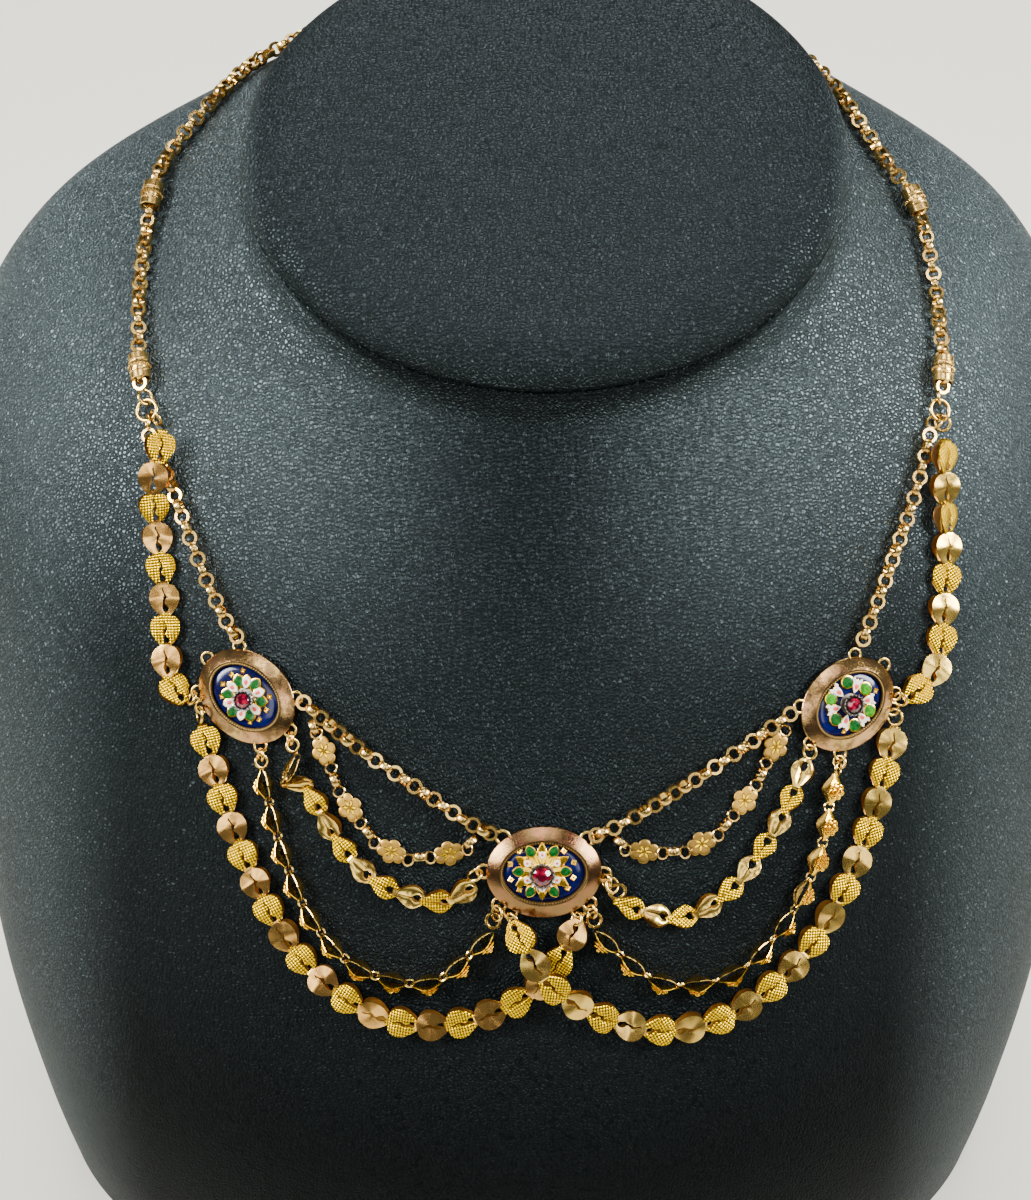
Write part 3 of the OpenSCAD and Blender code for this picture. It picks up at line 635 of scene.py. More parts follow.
# Gold squares, by plaque: x, y and turn
SQUARES = [
    [(-0.4, 5.0, 20), (-2.6, 4.2, 0), (-4.3, 2.5, 45), (-4.5, 0.2, 60), (4.8, 0.3, 40),
     (4.2, -2.2, 10), (2.8, -4.0, 20), (1.0, -4.5, 30)],
    [(-3.96, 3.5, 10), (-5.5, 1.2, 40), (-5.4, -1.5, 10), (-3.9, -3.3, 30), (3.75, 3.5, 5),
     (5.5, 1.5, 35), (5.4, -1.2, 10), (4.4, -3.0, 20)],
    [(5.3, 2.3, 20), (-1.1, -5.2, 15)]]
ORNAMENT_SHIFT = [(0, -0.2, 0), (-0.35, 0.4, 0), (0, 0.15, 0)]


def star():
    """A gold star of twelve points in steps, and six pointed tips round it."""
    a = np.arange(48) * TAU / 48
    saw = np.abs(((a * 12 / TAU) + 0.5) % 1 - 0.5) * 2
    r = 5.15 - 1.35 * saw
    edge = np.stack([r * np.cos(a), r * np.sin(a) * 0.93], -1)
    steps = ((1.0, -0.3), (1.0, -0.02), (0.93, 0.1), (0.7, 0.1), (0.45, 0.5))
    tip = dome(outline(2.1, 1.3, 1.7, -0.3, 16), STAR_Z, STAR_Z + 0.25, 0)
    return [tiers(edge, [(k, STAR_Z + h) for k, h in steps])] + [
        tip.moved((x, y, 0), turn=(0, 0, 30 + 60 * k))
        for k, (x, y) in enumerate(circle(6, 1.0, TAU / 12) * [4.3, 4.1])]


def ornament(i):
    """The raised work on each enamel: cells and squares in the places charted from each plaque,
    with a star in the middle one and a dark seat for the setting in the others. The squares
    stand lower towards the edge of the dome."""
    seat = [dome(outline(3.9, 3.9, count=40), STAR_Z - 0.2, STAR_Z + 0.02, SEAT)]
    parts = star() if i == 1 else seat
    for angles, r, length, width, lift, *look in CELLS[i]:
        parts += [cell(r, angle, length, width, STAR_Z + lift, *look) for angle in angles]
    for x, y, turn in SQUARES[i]:
        fall = (x * x / 50 + y * y / 27) * 0.35
        parts.append(square(x, y, STAR_Z + 0.02 - fall, turn))
    return joined(parts).moved(ORNAMENT_SHIFT[i])


def coronet():
    """The setting: a flaring cup turned about z, with a crown of sixteen pointed claws."""
    prof = [[1.05, 2.1], [1.3, 2.2], [1.55, 2.9], [1.82, 3.75], [1.86, 3.95], [1.66, 3.95],
            [1.5, 3.4], [1.1, 3.2]]
    cup = loft(turned(prof, 32).swapaxes(0, 1), closed=True)
    claw = loft([[[inner, -a, top], [outer, -b, low], [outer, b, low], [inner, a, top]]
                 for inner, outer, a, b, low, top in (
                     (1.3, 1.6, 0.24, 0.26, 3.0, 3.3), (1.62, 1.85, 0.17, 0.18, 3.8, 4.0),
                     (2.02, 2.12, 0.03, 0.03, 4.26, 4.36))])
    return joined([cup] + [claw.moved(turn=(0, 0, 360 * k / 16)) for k in range(16)])


def stone():
    """A round brilliant: facets between a girdle of sixteen corners and a table of eight."""
    point, girdle = circle(16, 0.5), circle(16, 1.42)
    middle, table = (np.repeat(circle(8, r, TAU / 32), 2, 0) for r in (1.12, 0.78))
    levels = ((point, 3.3), (girdle, 3.95), (girdle, 4.02), (middle, 4.26), (table, 4.46))
    return loft([np.insert(edge, 2, z, 1) for edge, z in levels])


def bust():
    """The bust's skin from its rounded foot to the seam, a narrow groove there, and the padded
    face of the neck, which rises as sin c and draws in as 1 - cos c."""
    n = 300
    a = np.arange(n) * 360 / n
    levels = np.concatenate([np.linspace(0, 9.6, 150), [9.75, 9.85, 9.93, 9.97]])
    base, *body = skin(levels[:, None], a)
    middle = base.mean(0) * [1, 1, 0]
    foot = [middle + (base - middle) * k + [0, 0, z] for k, z in
            ((0.97, 0.0), (0.985, 0.25), (0.995, 0.9), (1, 2.2))]
    r = along(SECTIONS, float(TOP))
    tilt = math.radians(r[2])
    o = np.array([r[6], r[0] + r[3] * math.cos(tilt), r[1] + r[3] * math.sin(tilt)])
    up = np.array([0, -math.sin(tilt), math.cos(tilt)])
    seam, groove = skin(float(TOP), a), 0.9915
    cap = [(groove, -0.1), (groove, 0.15)]
    for c in np.radians((8, 18, 30, 42, 54, 66, 78, 90)):
        keep = 1 - CAP_EDGE * (1 - math.cos(c)) / r[5] + 0.002 * math.sin(2 * c)
        cap.append((keep, CAP_RISE * math.sin(c)))
    cap += [(k, CAP_RISE + 0.25 * (1 - k)) for k in (0.6, 0.4, 0.2)]
    return loft(foot + body + [o + (seam - o) * k + up * h for k, h in cap])


# Finishes

def by_math(operation, swap=False):
    """A method of Value that adds the Math node of an operation."""
    def method(self, other=None):
        return self.math(operation, other, swap)
    return method


class Value:
    """A socket in a material: sums and products with it add Math nodes."""

    def __init__(self, finish, socket):
        self.finish, self.socket = finish, socket

    def math(self, operation, other=None, swap=False, clamp=False):
        """The Math node of an operation on this value, and on the other one if it takes two."""
        pair = [self] if other is None else [other, self] if swap else [self, other]
        return self.finish.node("ShaderNodeMath", {"operation": operation, "use_clamp": clamp},
                                dict(enumerate(pair)))

    __add__ = __radd__ = by_math("ADD")
    __sub__ = by_math("SUBTRACT")
    __rsub__ = by_math("SUBTRACT", True)
    __mul__ = __rmul__ = by_math("MULTIPLY")
    __pow__ = by_math("POWER")
    sin = by_math("SINE")
    abs = by_math("ABSOLUTE")
    most = by_math("MAXIMUM")
    angle_from = by_math("ARCTAN2")
    fraction = by_math("FRACT")

    def clamp(self):
        """The value held between 0 and 1."""
        return self.math("ADD", 0.0, clamp=True)

    def band(self, low, high, start=0.0, end=1.0):
        """A smooth step from start to end as the value goes from low to high."""
        return self.finish.node("ShaderNodeMapRange", {"interpolation_type": "SMOOTHSTEP"},
                                {"Value": self, "From Min": low, "From Max": high,
                                 "To Min": start, "To Max": end})


class Finish:
    """A material with one Principled shader."""

    def __init__(self, name, colour, roughness, **sockets):
        self.material = bpy.data.materials.new(name)
        self.material.use_nodes = True
        self.tree = self.material.node_tree
        self.shader = next(n for n in self.tree.nodes if n.type == "BSDF_PRINCIPLED")
        self.material.diffuse_color = (*colour, 1)
        self.shader.inputs["Base Color"].default_value = (*colour, 1)
        self.shader.inputs["Roughness"].default_value = roughness
        for key, number in sockets.items():
            self.shader.inputs[key.replace("_", " ")].default_value = number

    def node(self, kind, settings=(), inputs=(), output=0):
        """A new node with its settings and inputs, numbers or values, and one of its outputs."""
        n = self.tree.nodes.new(kind)
        for key, value in dict(settings).items():
            setattr(n, key, value)
        for key, value in dict(inputs).items():
            if isinstance(value, Value):
                self.tree.links.new(value.socket, n.inputs[key])
            else:
                n.inputs[key].default_value = value
        return Value(self, n.outputs[output])

    def place(self):
        """The place in the object, in metres."""
        return self.node("ShaderNodeTexCoord", output="Object")

    def apart(self, vector):
        """The x, y and z of a vector."""
        split = self.node("ShaderNodeSeparateXYZ", {}, {0: vector}).socket.node
        return [Value(self, socket) for socket in split.outputs]

    def flat(self):
        """The piece's own flat coordinates, across and along, in millimetres."""
        return self.apart(self.node("ShaderNodeUVMap", {"uv_map": "flat"}))[:2]

    def tone(self):
        """The tone that the piece's links carry."""
        return self.node("ShaderNodeAttribute", {"attribute_name": "tone"}, output="Fac")

    def noise(self, scale, detail=3.0, rough=0.5, vector=None):
        """Noise of so many waves a metre."""
        return self.node("ShaderNodeTexNoise", {}, {
            "Vector": vector or self.place(), "Scale": scale, "Detail": detail,
            "Roughness": rough})

    def mix(self, factor, a, b):
        """Colour a turning to b as the factor goes from 0 to 1."""
        a, b = (c if isinstance(c, Value) else (*c, 1) for c in (a, b))
        return self.node("ShaderNodeMix", {"data_type": "RGBA"}, {"Factor": factor, 6: a, 7: b}, 2)

    def feed(self, **values):
        """Links values into the shader's sockets."""
        for key, value in values.items():
            self.tree.links.new(value.socket, self.shader.inputs[key.replace("_", " ")])

    def bump(self, height, distance, strength=1.0):
        """A bump in the shader's normal, from a height that counts distance metres."""
        normal = self.node("ShaderNodeBump", {}, {"Height": height, "Distance": distance,
                                                  "Strength": strength})
        self.tree.links.new(normal.socket, self.shader.inputs["Normal"])
        return normal


def leather():
    """Black leatherette. The grain's height is rounded cells about 0.7 mm across between
    creases, plus slower swells. A dull and a glossy shader are mixed by a gloss that follows the
    place: it grows up the sides of the chest and towards the edges of the foot, stays low in the
    middle and on the oval face of the neck, and is nearly halved in the creases."""
    f = Finish("black_leatherette", (0.006, 0.008, 0.01), 0.3, Specular_IOR_Level=0.9,
               IOR=1.85, Specular_Tint=(0.74, 0.95, 1.0, 1))
    p = f.place()
    waver = f.node("ShaderNodeTexNoise", {}, {"Vector": p, "Scale": 900.0, "Detail": 2.0}, "Color")
    warp = f.node("ShaderNodeVectorMath", {"operation": "MULTIPLY_ADD"},
                  {0: waver, 1: (0.0005, 0.0005, 0.0005), 2: p})
    edge = f.node("ShaderNodeTexVoronoi", {"feature": "DISTANCE_TO_EDGE"},
                  {"Vector": warp, "Scale": 1380.0, "Randomness": 0.95})
    slow = f.noise(40.0)
    pebble = edge.band(0.0, 0.3)
    normal = f.bump(pebble + f.noise(500.0, 1.0) * 0.7, 0.00018)
    # The base colour is darker in the creases, which is painted shade, and changes slowly in tone.
    colour = f.mix(pebble * 0.7 + 0.3 * slow, (0.0001, 0.0003, 0.0003), (0.0018, 0.0034, 0.0038))
    f.feed(Base_Color=colour, Roughness=0.36 + 0.1 * slow + 0.12 * (1 - pebble))
    x, _, z = f.apart(p)
    across, up = (x - 0.004) * (1 / 0.0545), (z - 0.1915) * (1 / 0.0285)
    neck_face = (across * across + up * up).band(0.84, 1.02, 1.0, 0.0)
    sides = x.abs().band(0.0, 0.045) * z.band(0.12, 0.163) * (1 - neck_face)
    foot = 0.23 * (x + 0.002).abs().band(0.067, 0.09)
    middle = 0.07 * z.band(0.05, 0.12) + 0.035 * z.band(0.168, 0.178)
    gloss = (middle + foot + 0.34 * sides) * (0.55 + 0.45 * edge.band(0.0, 0.15))
    dull = f.node("ShaderNodeBsdfPrincipled", {}, {
        "Base Color": colour, "Roughness": 0.5, "Specular IOR Level": 0.03, "Normal": normal})
    both = f.node("ShaderNodeMixShader", {},
                  {0: gloss, 1: dull, 2: Value(f, f.shader.outputs[0])})
    end = next(n for n in f.tree.nodes if n.type == "OUTPUT_MATERIAL")
    f.tree.links.new(both.socket, end.inputs["Surface"])
    return f.material


def metal(name, colour, deep, roughness, scratch=0.3, fan=0.0):
    """Worn polished metal: the colour turns to a deeper one in slow patches and from link to
    link, and fine rubbing scatters the gloss. A fan above 0 also cuts it in rays from a link's
    middle, whose height is the sine of four times the angle, times the radius."""
    f = Finish(name, colour, roughness, Metallic=1.0)
    slow = f.noise(260.0)
    rub = f.noise(2600.0, 3.0, 0.65)
    shift = (slow.band(0.35, 0.7) * 0.7 + f.tone() * 0.35).clamp()
    f.feed(Base_Color=f.mix(shift, colour, deep),
           Roughness=(roughness - 0.06) + 0.22 * scratch * rub + 0.12 * slow)
    if not fan:
        f.bump(rub, 0.00001, 0.35 * scratch)
        return f.material
    across, on = f.flat()
    turn = across.angle_from(on) + 0.5 * slow
    rays = (turn * 4).sin() * (across * across + on * on) ** 0.5
    f.bump(rays * fan + 0.2 * rub, 0.00002)
    return f.material


def engraved(name, slant):
    """Bright gold cut with a fine net of lines about half a millimetre apart, in the link's own
    coordinates: height is the product of two waves, turned by the slant."""
    f = Finish(name, (0.95, 0.56, 0.02), 0.3, Metallic=1.0)
    across, on = f.flat()
    c, s = math.cos(math.radians(slant)), math.sin(math.radians(slant))
    k = TAU / 0.5
    first = ((across * c + on * s) * k).sin() * 0.5 + 0.5
    second = ((on * c - across * s) * k).sin() * 0.5 + 0.5
    net = (first * 0.65 + 0.35) * (second * 0.7 + 0.3)
    # The net's lines are painted dark as well as cut: painted shade in the grooves.
    f.feed(Base_Color=f.mix(net.band(0.1, 0.7), (0.12, 0.045, 0.0), (0.84, 0.54, 0.0)),
           Roughness=0.34 - 0.12 * net)
    f.bump(net, 0.00012, 0.9)
    return f.material


def flower_gold():
    """Pale gold, greyer the higher the flower's tone, with six cut petals round the middle: a
    groove, dark with painted shade, follows each petal's edge, and the petals themselves are
    bright."""
    f = Finish("flower_gold", (0.87, 0.62, 0.36), 0.24, Metallic=1.0)
    across, on = f.flat()
    r = (across * across + on * on) ** 0.5
    wedge = ((across.angle_from(on) * (6 / TAU) + 0.5).fraction() - 0.5).abs() * (TAU / 6)
    petal = 0.105 * (((r - 0.06) * (math.pi / 0.54)).sin()).most(0.0) - wedge * r
    inside = petal.band(0.0, 0.03)
    groove = (1 - (petal.abs() * 26)).most(0.0) * r.band(0.62, 0.56)
    grain = f.noise(900.0)
    ground = f.mix(f.tone(), f.mix(grain, (0.58, 0.34, 0.06), (0.48, 0.26, 0.04)),
                   f.mix(grain, (0.22, 0.14, 0.035), (0.16, 0.09, 0.02)))
    plate = f.mix(inside, ground, (0.86, 0.54, 0.01))
    # The groove is painted near black: painted shade.
    f.feed(Base_Color=f.mix(groove * 0.75, plate, (0.06, 0.025, 0.0)),
           Roughness=0.34 - 0.12 * inside + 0.1 * grain)
    f.bump(groove * -1.0 + 0.35 * inside, 0.00012, 0.9)
    return f.material


def rim_gold():
    """Rose gold of the rims: slow patches of copper and greenish gold, darker on the centre
    plaque as painted shade, with dull brown patches, specks and fine brushing."""
    f = Finish("rose_gold", (0.78, 0.52, 0.36), 0.3, Metallic=1.0)
    p = f.place()
    slow = f.noise(190.0, 2.0).band(0.35, 0.65)
    patch = f.noise(420.0, 4.0, 0.6)
    stretched = f.node("ShaderNodeMapping", {}, {"Vector": p, "Scale": (1.0, 6.0, 0.4)})
    brush = f.noise(1500.0, 4.0, 0.7, stretched)
    speck = f.noise(5200.0, 2.0).band(0.66, 0.72)
    # Near x = 0 the centre plaque's rim is painted darker: painted shade.
    side = f.apart(p)[0].abs().band(0.018, 0.032)
    rose_with_painted_shade = f.mix(side, f.mix(slow, (0.2, 0.11, 0.04), (0.26, 0.11, 0.055)),
                 f.mix(slow, (0.42, 0.27, 0.09), (0.5, 0.25, 0.12)))
    f.feed(Base_Color=f.mix(speck * 0.6, f.mix(patch.band(0.42, 0.62), rose_with_painted_shade, (0.17, 0.1, 0.04)),
                            (0.1, 0.04, 0.02)),
           Roughness=0.08 + 0.14 * patch + 0.1 * brush)
    f.bump(brush + patch, 0.00003, 0.7)
    return f.material


def enamel(name, colour, deep, roughness, coat, scale, lift=0.4):
    """Glassy enamel: clouded colour under a clear coat, with tiny pits."""
    f = Finish(name, colour, roughness, Coat_Weight=coat, Coat_Roughness=0.04,
               Specular_IOR_Level=0.32)
    cloud = f.noise(scale, 4.0, 0.6)
    pit = f.noise(4200.0, 2.0).band(0.68, 0.74)
    f.feed(Base_Color=f.mix(cloud.band(0.3, 0.7), colour, deep),
           Roughness=roughness + 0.3 * pit)
    f.bump(cloud * 0.6 - pit, 0.00002, lift)
    return f.material


def ruby():
    """Crimson stone: cells that run from dark to bright, painted inner reflections and shade,
    under a clear hard surface.
    """
    f = Finish("ruby_red", (0.3, 0.003, 0.03), 0.05, Coat_Weight=0.2, Coat_Roughness=0.02,
               IOR=1.6)
    # The cells paint the stone's inner reflections and shade into its colour.
    depth = f.node("ShaderNodeTexVoronoi", {}, {"Vector": f.place(), "Scale": 1100.0}, "Distance")
    f.feed(Base_Color=f.mix(depth.band(0.1, 0.75), (0.24, 0.001, 0.02), (0.03, 0.0, 0.003)))
    return f.material


def plain(name, colour, roughness):
    """A plain matt surface of slightly uneven gloss."""
    f = Finish(name, colour, roughness)
    f.feed(Roughness=roughness + 0.08 * f.noise(30.0))
    return f.material


BLACK = leather()
YELLOW = metal("yellow_gold", (0.68, 0.45, 0.13), (0.52, 0.31, 0.09), 0.22)
RING_GOLD = metal("ring_gold", (0.74, 0.5, 0.12), (0.52, 0.33, 0.09), 0.18)
POLISHED = metal("rose_leaf_gold", (0.72, 0.4, 0.1), (0.58, 0.29, 0.08), 0.2, fan=1.0)
PALE_LEAF = metal("pale_leaf_gold", (0.61, 0.42, 0.09), (0.57, 0.33, 0.08), 0.22, fan=0.9)
# Darker gold of the leaves' back plates: painted shade.
BACK_PLATE_SHADE = metal("inner_gold", (0.34, 0.17, 0.03), (0.2, 0.08, 0.01), 0.32, 0.6)
OLIVE = metal("lozenge_gold", (0.58, 0.38, 0.08), (0.34, 0.2, 0.04), 0.2, 0.5)
ROSETTE = metal("rosette_gold", (0.86, 0.52, 0.02), (0.68, 0.33, 0.01), 0.22)
HATCHED = engraved("engraved_gold", 0)
SLANTED = engraved("slant_engraved_gold", 35)
FLOWER_GOLD = flower_gold()
RIM = rim_gold()
BLUE = enamel("cobalt_enamel", (0.001, 0.003, 0.06), (0.0004, 0.001, 0.018), 0.14, 0.0, 300.0)
WHITE_ENAMEL = enamel("white_enamel", (0.8, 0.74, 0.6), (0.64, 0.56, 0.42), 0.3, 0.1, 900.0)
GREEN_ENAMEL = enamel("green_enamel", (0.0, 0.028, 0.004), (0.008, 0.09, 0.01), 0.2, 0.2,
                      1800.0, 0.9)
PALE_ENAMEL = enamel("light_green_enamel", (0.006, 0.1, 0.003), (0.06, 0.3, 0.01), 0.2, 0.2,
                     1800.0, 0.9)
PINK_ENAMEL = enamel("pink_enamel", (0.7, 0.07, 0.05), (0.5, 0.04, 0.04), 0.3, 0.1, 1500.0)
SILVER = metal("silver", (0.72, 0.71, 0.7), (0.16, 0.15, 0.14), 0.2, 0.6)
BEAD_GOLD = metal("beaded_gold", (0.8, 0.58, 0.22), (0.56, 0.38, 0.12), 0.25, 0.6)
DARK_SILVER = metal("tarnished_silver", (0.2, 0.18, 0.15), (0.03, 0.027, 0.024), 0.3, 0.8)
# Dark gold of the plaques' bezels: painted shade.
SHADE_GOLD = metal("bezel_painted_shade_gold", (0.1, 0.06, 0.02), (0.05, 0.03, 0.01), 0.35, 0.6)
RUBY = ruby()

# The object

piece("padded_bust", "bust", bust(), [BLACK], sharp=60)

# Strands lie a gap above the skin, and their middles half a thickness higher
GAP = 0.3
CHAIN_HEIGHT, LEAF_HEIGHT = GAP + 1.35, GAP + 1.2
LOZENGE_HEIGHT, FLOWER_HEIGHT = GAP + 1.45, GAP + 0.6
NECK_PITCH, CHAIN_PITCH, NECK_TWIST = 1.8, 2.0, 38
HANDS = ["left", "right"]

for side, rows in zip(HANDS, (NECK_LEFT, NECK_RIGHT)):
    route = Route(rows, CHAIN_HEIGHT, neck=True)
    piece(f"neck_rings_{side}", f"neck_chain_{side}",
          belcher_strand(route, NECK_PITCH, NECK_TWIST), [YELLOW], sharp=50)
    for row, word in zip(BARREL_ROWS, ("upper", "lower")):
        at = route.at(route.s[row * FINE] / route.length)
        piece(f"barrel_bead_{side}_{word}", f"barrel_{side}_{word}", repeated(barrel(), at),
              [YELLOW])
at = skin(CLASP_LEVEL, 90.0) + skin_normal(CLASP_LEVEL, 90.0) * 2.0
piece("barrel_clasp", "clasp", clasp().moved(at), [YELLOW])

TWISTS = {"side_left": 12, "side_right": 8, "front_left": 25, "front_right": 25}
for name, twist in TWISTS.items():
    route = Route(STRANDS[f"belcher_{name}"], CHAIN_HEIGHT, facing=1.0)
    piece(f"fine_rings_{name}", f"belcher_{name}",
          belcher_strand(route, CHAIN_PITCH, twist, -0.02, 1.02), [YELLOW], sharp=50)


def between(a, b):
    """A frame halfway between two places on the face, each with its lift, its y running from
    the first to the second."""
    (p, n), (q, normal) = face_place(*a[:2]), face_place(*b[:2])
    p, q = p + n * a[2], q + normal * b[2]
    d = unit(q - p)
    x = unit(np.cross(d, normal))
    return (p + q)[None] / 2, np.stack([x, d, np.cross(x, d)])[None]


# The two halves of the link that is bent open below the left plaque: ends as x, v and lift,
# and turn about the length
BENT_LINK = [((-38.7, 21.2, 2.2), (-41.2, 16.6, 2.4), 62),
             ((-41.3, 16.5, 2.4), (-35.3, 16.4, 2), 48)]

# Leaf strands: number of links, whether the first one is textured, the engraving, the polish,
# the shares of the length at which the first and the last link lie, the rolls, spread evenly
# over the strand, and 1 or -1 for the way in which the links point
LEAVES = {
    "side_left": (9, True, HATCHED, POLISHED, 0.066, 0.948,
                  [-38, -26, -30, -22, -22, -20, -14, -12, -30], 1),
    "side_right": (9, True, SLANTED, PALE_LEAF, 0.07, 0.952,
                   [-26, -14, -30, 0, 10, 2, 8, 6, 4], 1),
    "outer_left": (20, True, HATCHED, POLISHED, 0.019, 0.98,
                   [-16, -10, -4, -2, 0, 2, 4, 2, 0, -4], 1),
    "outer_right": (20, False, SLANTED, PALE_LEAF, 0.021, 0.976,
                    [6, 6, 4, 0, 0, 0, 0, 0, 0, -4], 1),
    "inner_left": (8, True, HATCHED, PALE_LEAF, 0.205, 0.958,
                   [10, 6, 0, 0, 0, 4, 12, 8], 1),
    "inner_right": (10, False, SLANTED, PALE_LEAF, 0.049, 0.945,
                    [30, 26, 14, 18, 8, 14, 4, 20, 24, 4], -1)}
# Pitch of the leaves as drawn, their height as a share of it, and how far polished ones roll
WIDE_PITCH, NARROW_PITCH, LEAF_FLAT, SWING = 5.35, 4.85, 0.92, 11
for name, (count, textured_first, net, bright, first, last, rolls, way) in LEAVES.items():
    narrow = name.startswith("inner")
    route = Route(STRANDS[f"leaf_{name}"], LEAF_HEIGHT, facing=0.5)
    k = np.arange(count)
    textured = (k % 2 == 0) == textured_first
    roll = np.interp(np.linspace(0, 1, count), np.linspace(0, 1, len(rolls)), rolls)
    roll = roll + np.where(textured, 0, SWING * np.sin(k * 1.9))
    o, axes = route.at(np.linspace(first, last, count), roll)
    axes = axes * np.array([way, way, 1])[:, None]
    pitch = (last - first) * route.length / (count - 1)
    stretch = pitch / (NARROW_PITCH if narrow else WIDE_PITCH)
    tones = np.sin(k * 3.3) * 0.4
    parts = []
    for chosen, polished in ((textured, False), (~textured, True)):
        link = leaf(narrow, polished).moved(scale=np.array([1, stretch, LEAF_FLAT]))
        if polished:
            link = link.finished(np.where(link.fin == 0, 2, 1))
        parts.append(repeated(link, (o[chosen], axes[chosen]), tones[chosen]))
    if name == "inner_left":
        half = leaf(True, True).finished(2)
        parts += [repeated(half.moved(scale=np.array([0.8, 1, 0.7]), turn=(0, turn, 0)),
                           between(a, b)) for a, b, turn in BENT_LINK]
    if name == "inner_right":
        end = stand_on(face_place(16.3, -2.0), h=1.7, turn=20)
        parts.append(repeated(ring(1.4, 1.25, 0.6).finished(3), end))
    piece(f"leaves_{name}", f"leaf_{name}", joined(parts), [net, BACK_PLATE_SHADE, bright, RING_GOLD],
          sharp=24)

# Lozenge strands: rolls of the links, and place of the last small ring. The rosettes turn
# outward, and on the right the upper ones face ahead
LOZENGES = [
    (np.linspace(96, 88, 11), (-5.0, -7.0)),
    (-np.array([12, 16, 24, 44, 74, 82, 90, 94, 92, 88, 84.0]), (12.3, -6.9))]
for side, (roll, end) in zip(HANDS, LOZENGES):
    route = Route(STRANDS[f"lozenges_{side}"], LOZENGE_HEIGHT, facing=0.3)
    share = np.linspace(0.037, 0.955, len(roll))
    links = repeated(lozenge(), route.at(share, roll), np.sin(np.arange(len(roll)) * 2.3) * 0.4)
    eyes = repeated(ring(0.85, 0.85, 0.34, 16, 6).finished(2),
                    route.at((share[1:] + share[:-1]) / 2, (roll[1:] + roll[:-1]) / 2 + 30))
    last = repeated(ring(1.2, 1.3, 0.55).finished(2),
                    stand_on(face_place(*end), h=1.9, turn=10))
    piece(f"lozenge_links_{side}", f"lozenges_{side}", joined([links, eyes, last]),
          [ROSETTE, OLIVE, RING_GOLD], sharp=28)

# Flower strands: shares of the length at which the flowers lie, their tones, and shares of the
# end rings
FLOWERS = [([0.115, 0.377, 0.632, 0.878], [0.1, 0, 0.3, 0.6], [0.985, 0.005]),
           ([0.06, 0.334, 0.607, 0.869], [0.5, 0, 0.8, 0.9], [0.985])]
for side, (share, tones, ends) in zip(HANDS, FLOWERS):
    route = Route(STRANDS[f"flowers_{side}"], FLOWER_HEIGHT, facing=0.5)
    share = np.array(share)
    plates = repeated(flower(), route.at(share), np.array(tones))
    rings_at = np.concatenate([(share[1:] + share[:-1]) / 2, ends])
    bands = repeated(BELCHER.finished(1), route.at(rings_at, 90.0))
    piece(f"flower_links_{side}", f"flowers_{side}", joined([plates, bands]),
          [FLOWER_GOLD, YELLOW], sharp=30)

# Settings, by plaque: shift of the setting, its size, the size of the stone, and its metal
SETTINGS = [((0.3, -0.65, 0), 1.0, 0.9, SILVER), ((-0.4, -0.1, 0), 1.18, 1.12, SILVER),
            ((-0.1, 0, 0), 1.05, 0.95, DARK_SILVER)]


def jump_ring(r, wire, tilt):
    """A round ring tilted about x by degrees."""
    return ring(r, r, wire).moved(turn=(tilt, 0, 0))


for i, side in enumerate(SIDES):
    x, v, turn, size = PLAQUES[i]
    long_way = stand_on(face_place(x, v), PLAQUE_LIFT, turn)
    upright = stand_on(face_place(x, v), PLAQUE_LIFT)
    loops = joined([ring(1.16, 1.16, 0.6, 24).moved(loop_place(i, a) * [0.965, 0.965, 0.75])
                    for a in LOOPS[i]]).finished(1)
    rim = repeated(joined([plaque_body(), milgrain()]), long_way, scale=size)
    piece(f"plaque_rim_{side}", f"frame_{side}",
          joined([rim, repeated(loops, upright, scale=size)]),
          [RIM, RING_GOLD, BEAD_GOLD, SHADE_GOLD], sharp=50)
    piece(f"blue_enamel_{side}", f"enamel_{side}", repeated(glass(), long_way, scale=size),
          [BLUE], sharp=50)
    piece(f"raised_work_{side}", f"ornament_{side}", repeated(ornament(i), upright, scale=size),
          [ROSETTE, WHITE_ENAMEL, GREEN_ENAMEL, PINK_ENAMEL, PALE_ENAMEL, DARK_SILVER],
          sharp=34)
    shift, wide, gem, claws = SETTINGS[i]
    for name, node, shape, k, material, sharp, slot in (
            ("coronet", "collet", coronet(), wide, claws, 30, "silver"),
            ("red_stone", "ruby", stone(), gem, RUBY, 2, "ruby_stone")):
        shape = repeated(shape.moved(shift, np.array([k, k, 1])), upright, scale=size)
        piece(f"{name}_{side}", f"{node}_{side}", shape, [material], sharp)
    wires = []
    for loop, heading, far, tilt, r in RINGS_PLAQUE[i]:
        h = math.radians(heading)
        at = loop_place(i, LOOPS[i][loop]) + np.array([math.cos(h), math.sin(h), 0]) * far
        wire = jump_ring(r * PLAQUE_RING_SHARE, PLAQUE_RING_WIRE, tilt)
        wires.append(repeated(wire.moved(at, turn=(0, 0, heading)), upright, scale=size))
    for x, v, heading, tilt, h, r in RINGS_SIDE[i]:
        wires.append(repeated(jump_ring(r * SIDE_RING_SHARE, SIDE_RING_WIRE, tilt),
                              stand_on(face_place(x, v), h, heading)))
    piece(f"jump_rings_{side}", f"rings_{side}", joined(wires), [RING_GOLD], sharp=60)
for side, (x, v) in zip(HANDS, SIDE_RINGS):
    piece(f"round_ring_{side}", f"side_ring_{side}",
          repeated(ring(1.9, 1.9, 0.75, 32, 10), stand_on(face_place(x, v), h=1.6)),
          [RING_GOLD], sharp=60)

# Floor, light and camera

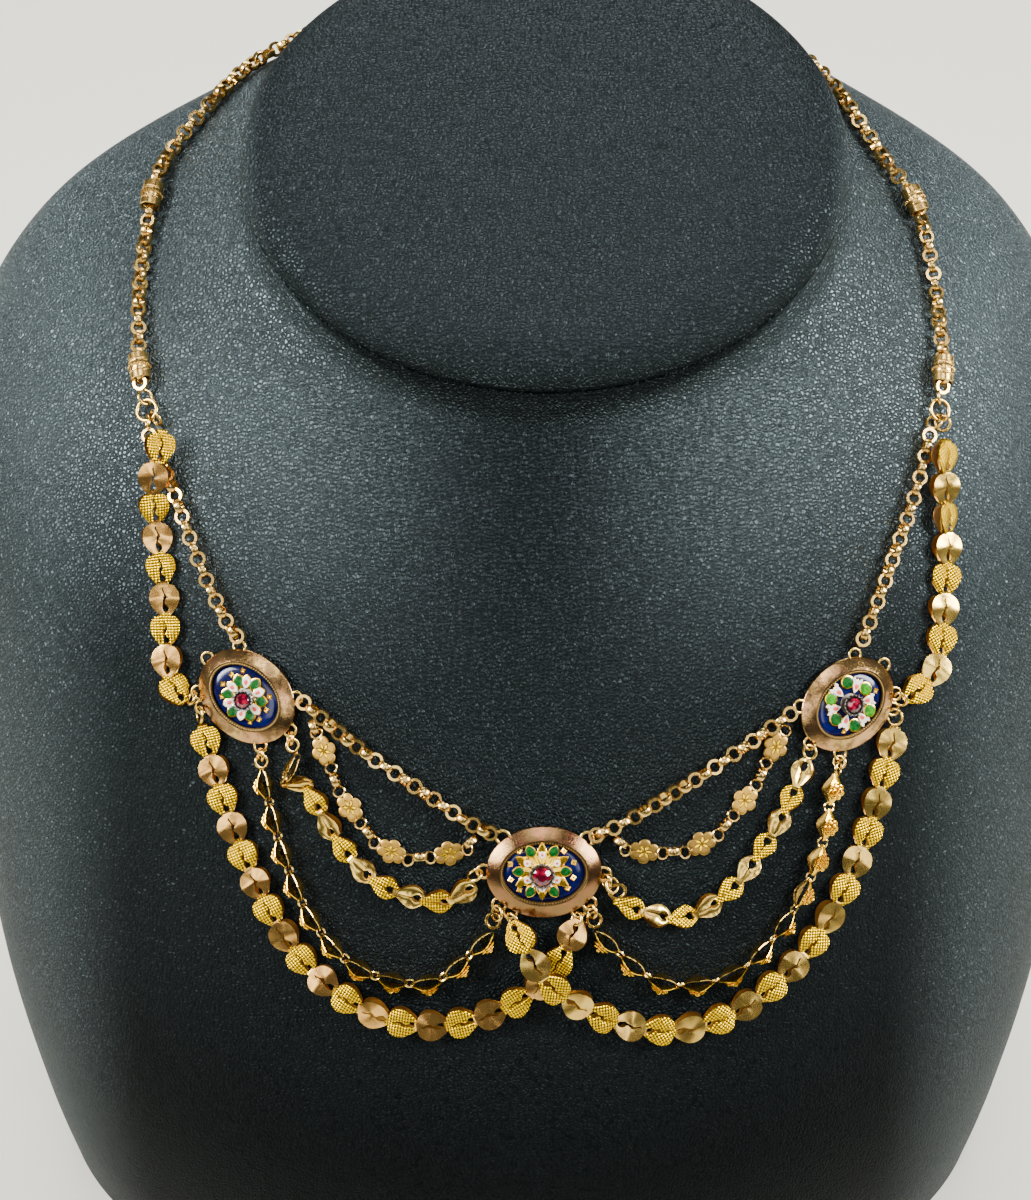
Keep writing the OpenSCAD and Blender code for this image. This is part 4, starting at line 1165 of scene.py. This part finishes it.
FLOOR_HALF = 3.0
corners = [(-FLOOR_HALF, -FLOOR_HALF, 0), (FLOOR_HALF, -FLOOR_HALF, 0),
           (FLOOR_HALF, FLOOR_HALF, 0), (-FLOOR_HALF, FLOOR_HALF, 0)]
floor_mesh = bpy.data.meshes.new("floor")
floor_mesh.from_pydata(corners, [], [(0, 1, 2, 3)])
floor = bpy.data.objects.new("floor", floor_mesh)
bpy.context.scene.collection.objects.link(floor)
floor_mesh.materials.append(plain("pale_floor", (0.62, 0.61, 0.53), 0.6))


def softbox(name, at, aim, width, height, power):
    """A soft rectangular lamp at a place, turned to face its aim."""
    lamp = bpy.data.lights.new(name, "AREA")
    lamp.shape, lamp.size, lamp.size_y, lamp.energy = "RECTANGLE", width, height, power
    o = bpy.data.objects.new(name, lamp)
    bpy.context.scene.collection.objects.link(o)
    z = unit(np.array(at) - np.array(aim))
    x = unit(np.cross([0, 0, 1.0], z))
    m = np.eye(4)
    m[:3] = np.stack([x, np.cross(z, x), z, at], 1)
    o.matrix_world = Matrix(m.tolist())


# Lamps: place, aim, width and height in metres, and power in watts
CHEST = (0, -0.05, 0.12)
for name, lamp in {
        "left": ((-0.62, -0.22, 0.6), CHEST, 0.24, 0.36, 17.0),
        "right": ((0.62, -0.17, 0.58), CHEST, 0.24, 0.36, 16.0),
        "back": ((0.0, 0.75, 0.75), (0, 0, 0.15), 0.8, 0.4, 14.0),
        "front_left": ((-0.34, -0.72, 0.72), CHEST, 0.2, 0.5, 1.8),
        "front_right": ((0.34, -0.72, 0.72), CHEST, 0.2, 0.5, 1.8),
        "behind_camera": ((0, -0.62, 0.95), CHEST, 0.5, 0.2, 1.2),
        "overhead": ((0, -0.08, 0.95), CHEST, 0.36, 0.16, 2.2)}.items():
    softbox(f"lamp_{name}", *lamp)
world = bpy.data.worlds.new("studio")
bpy.context.scene.world = world
world.use_nodes = True
world.node_tree.nodes["Background"].inputs["Color"].default_value = (0.93, 0.95, 1.0, 1)
world.node_tree.nodes["Background"].inputs["Strength"].default_value = 0.09

# The camera looks down at the chest. Its focal length is 2592 pixels of a frame 1200 high
SENSOR = 36
camera_data = bpy.data.cameras.new("camera")
camera_data.lens, camera_data.sensor_width = SENSOR * 2592 / 1200, SENSOR
camera = bpy.data.objects.new("camera", camera_data)
aim, reach, lift = np.array([-1.2, -24, 140]), 450, math.radians(44)
camera.location = (aim + reach * np.array([0, -math.cos(lift), math.sin(lift)])) * MM
camera.rotation_euler = (math.pi / 2 - lift, 0, 0)
bpy.context.scene.collection.objects.link(camera)
bpy.context.scene.camera = camera
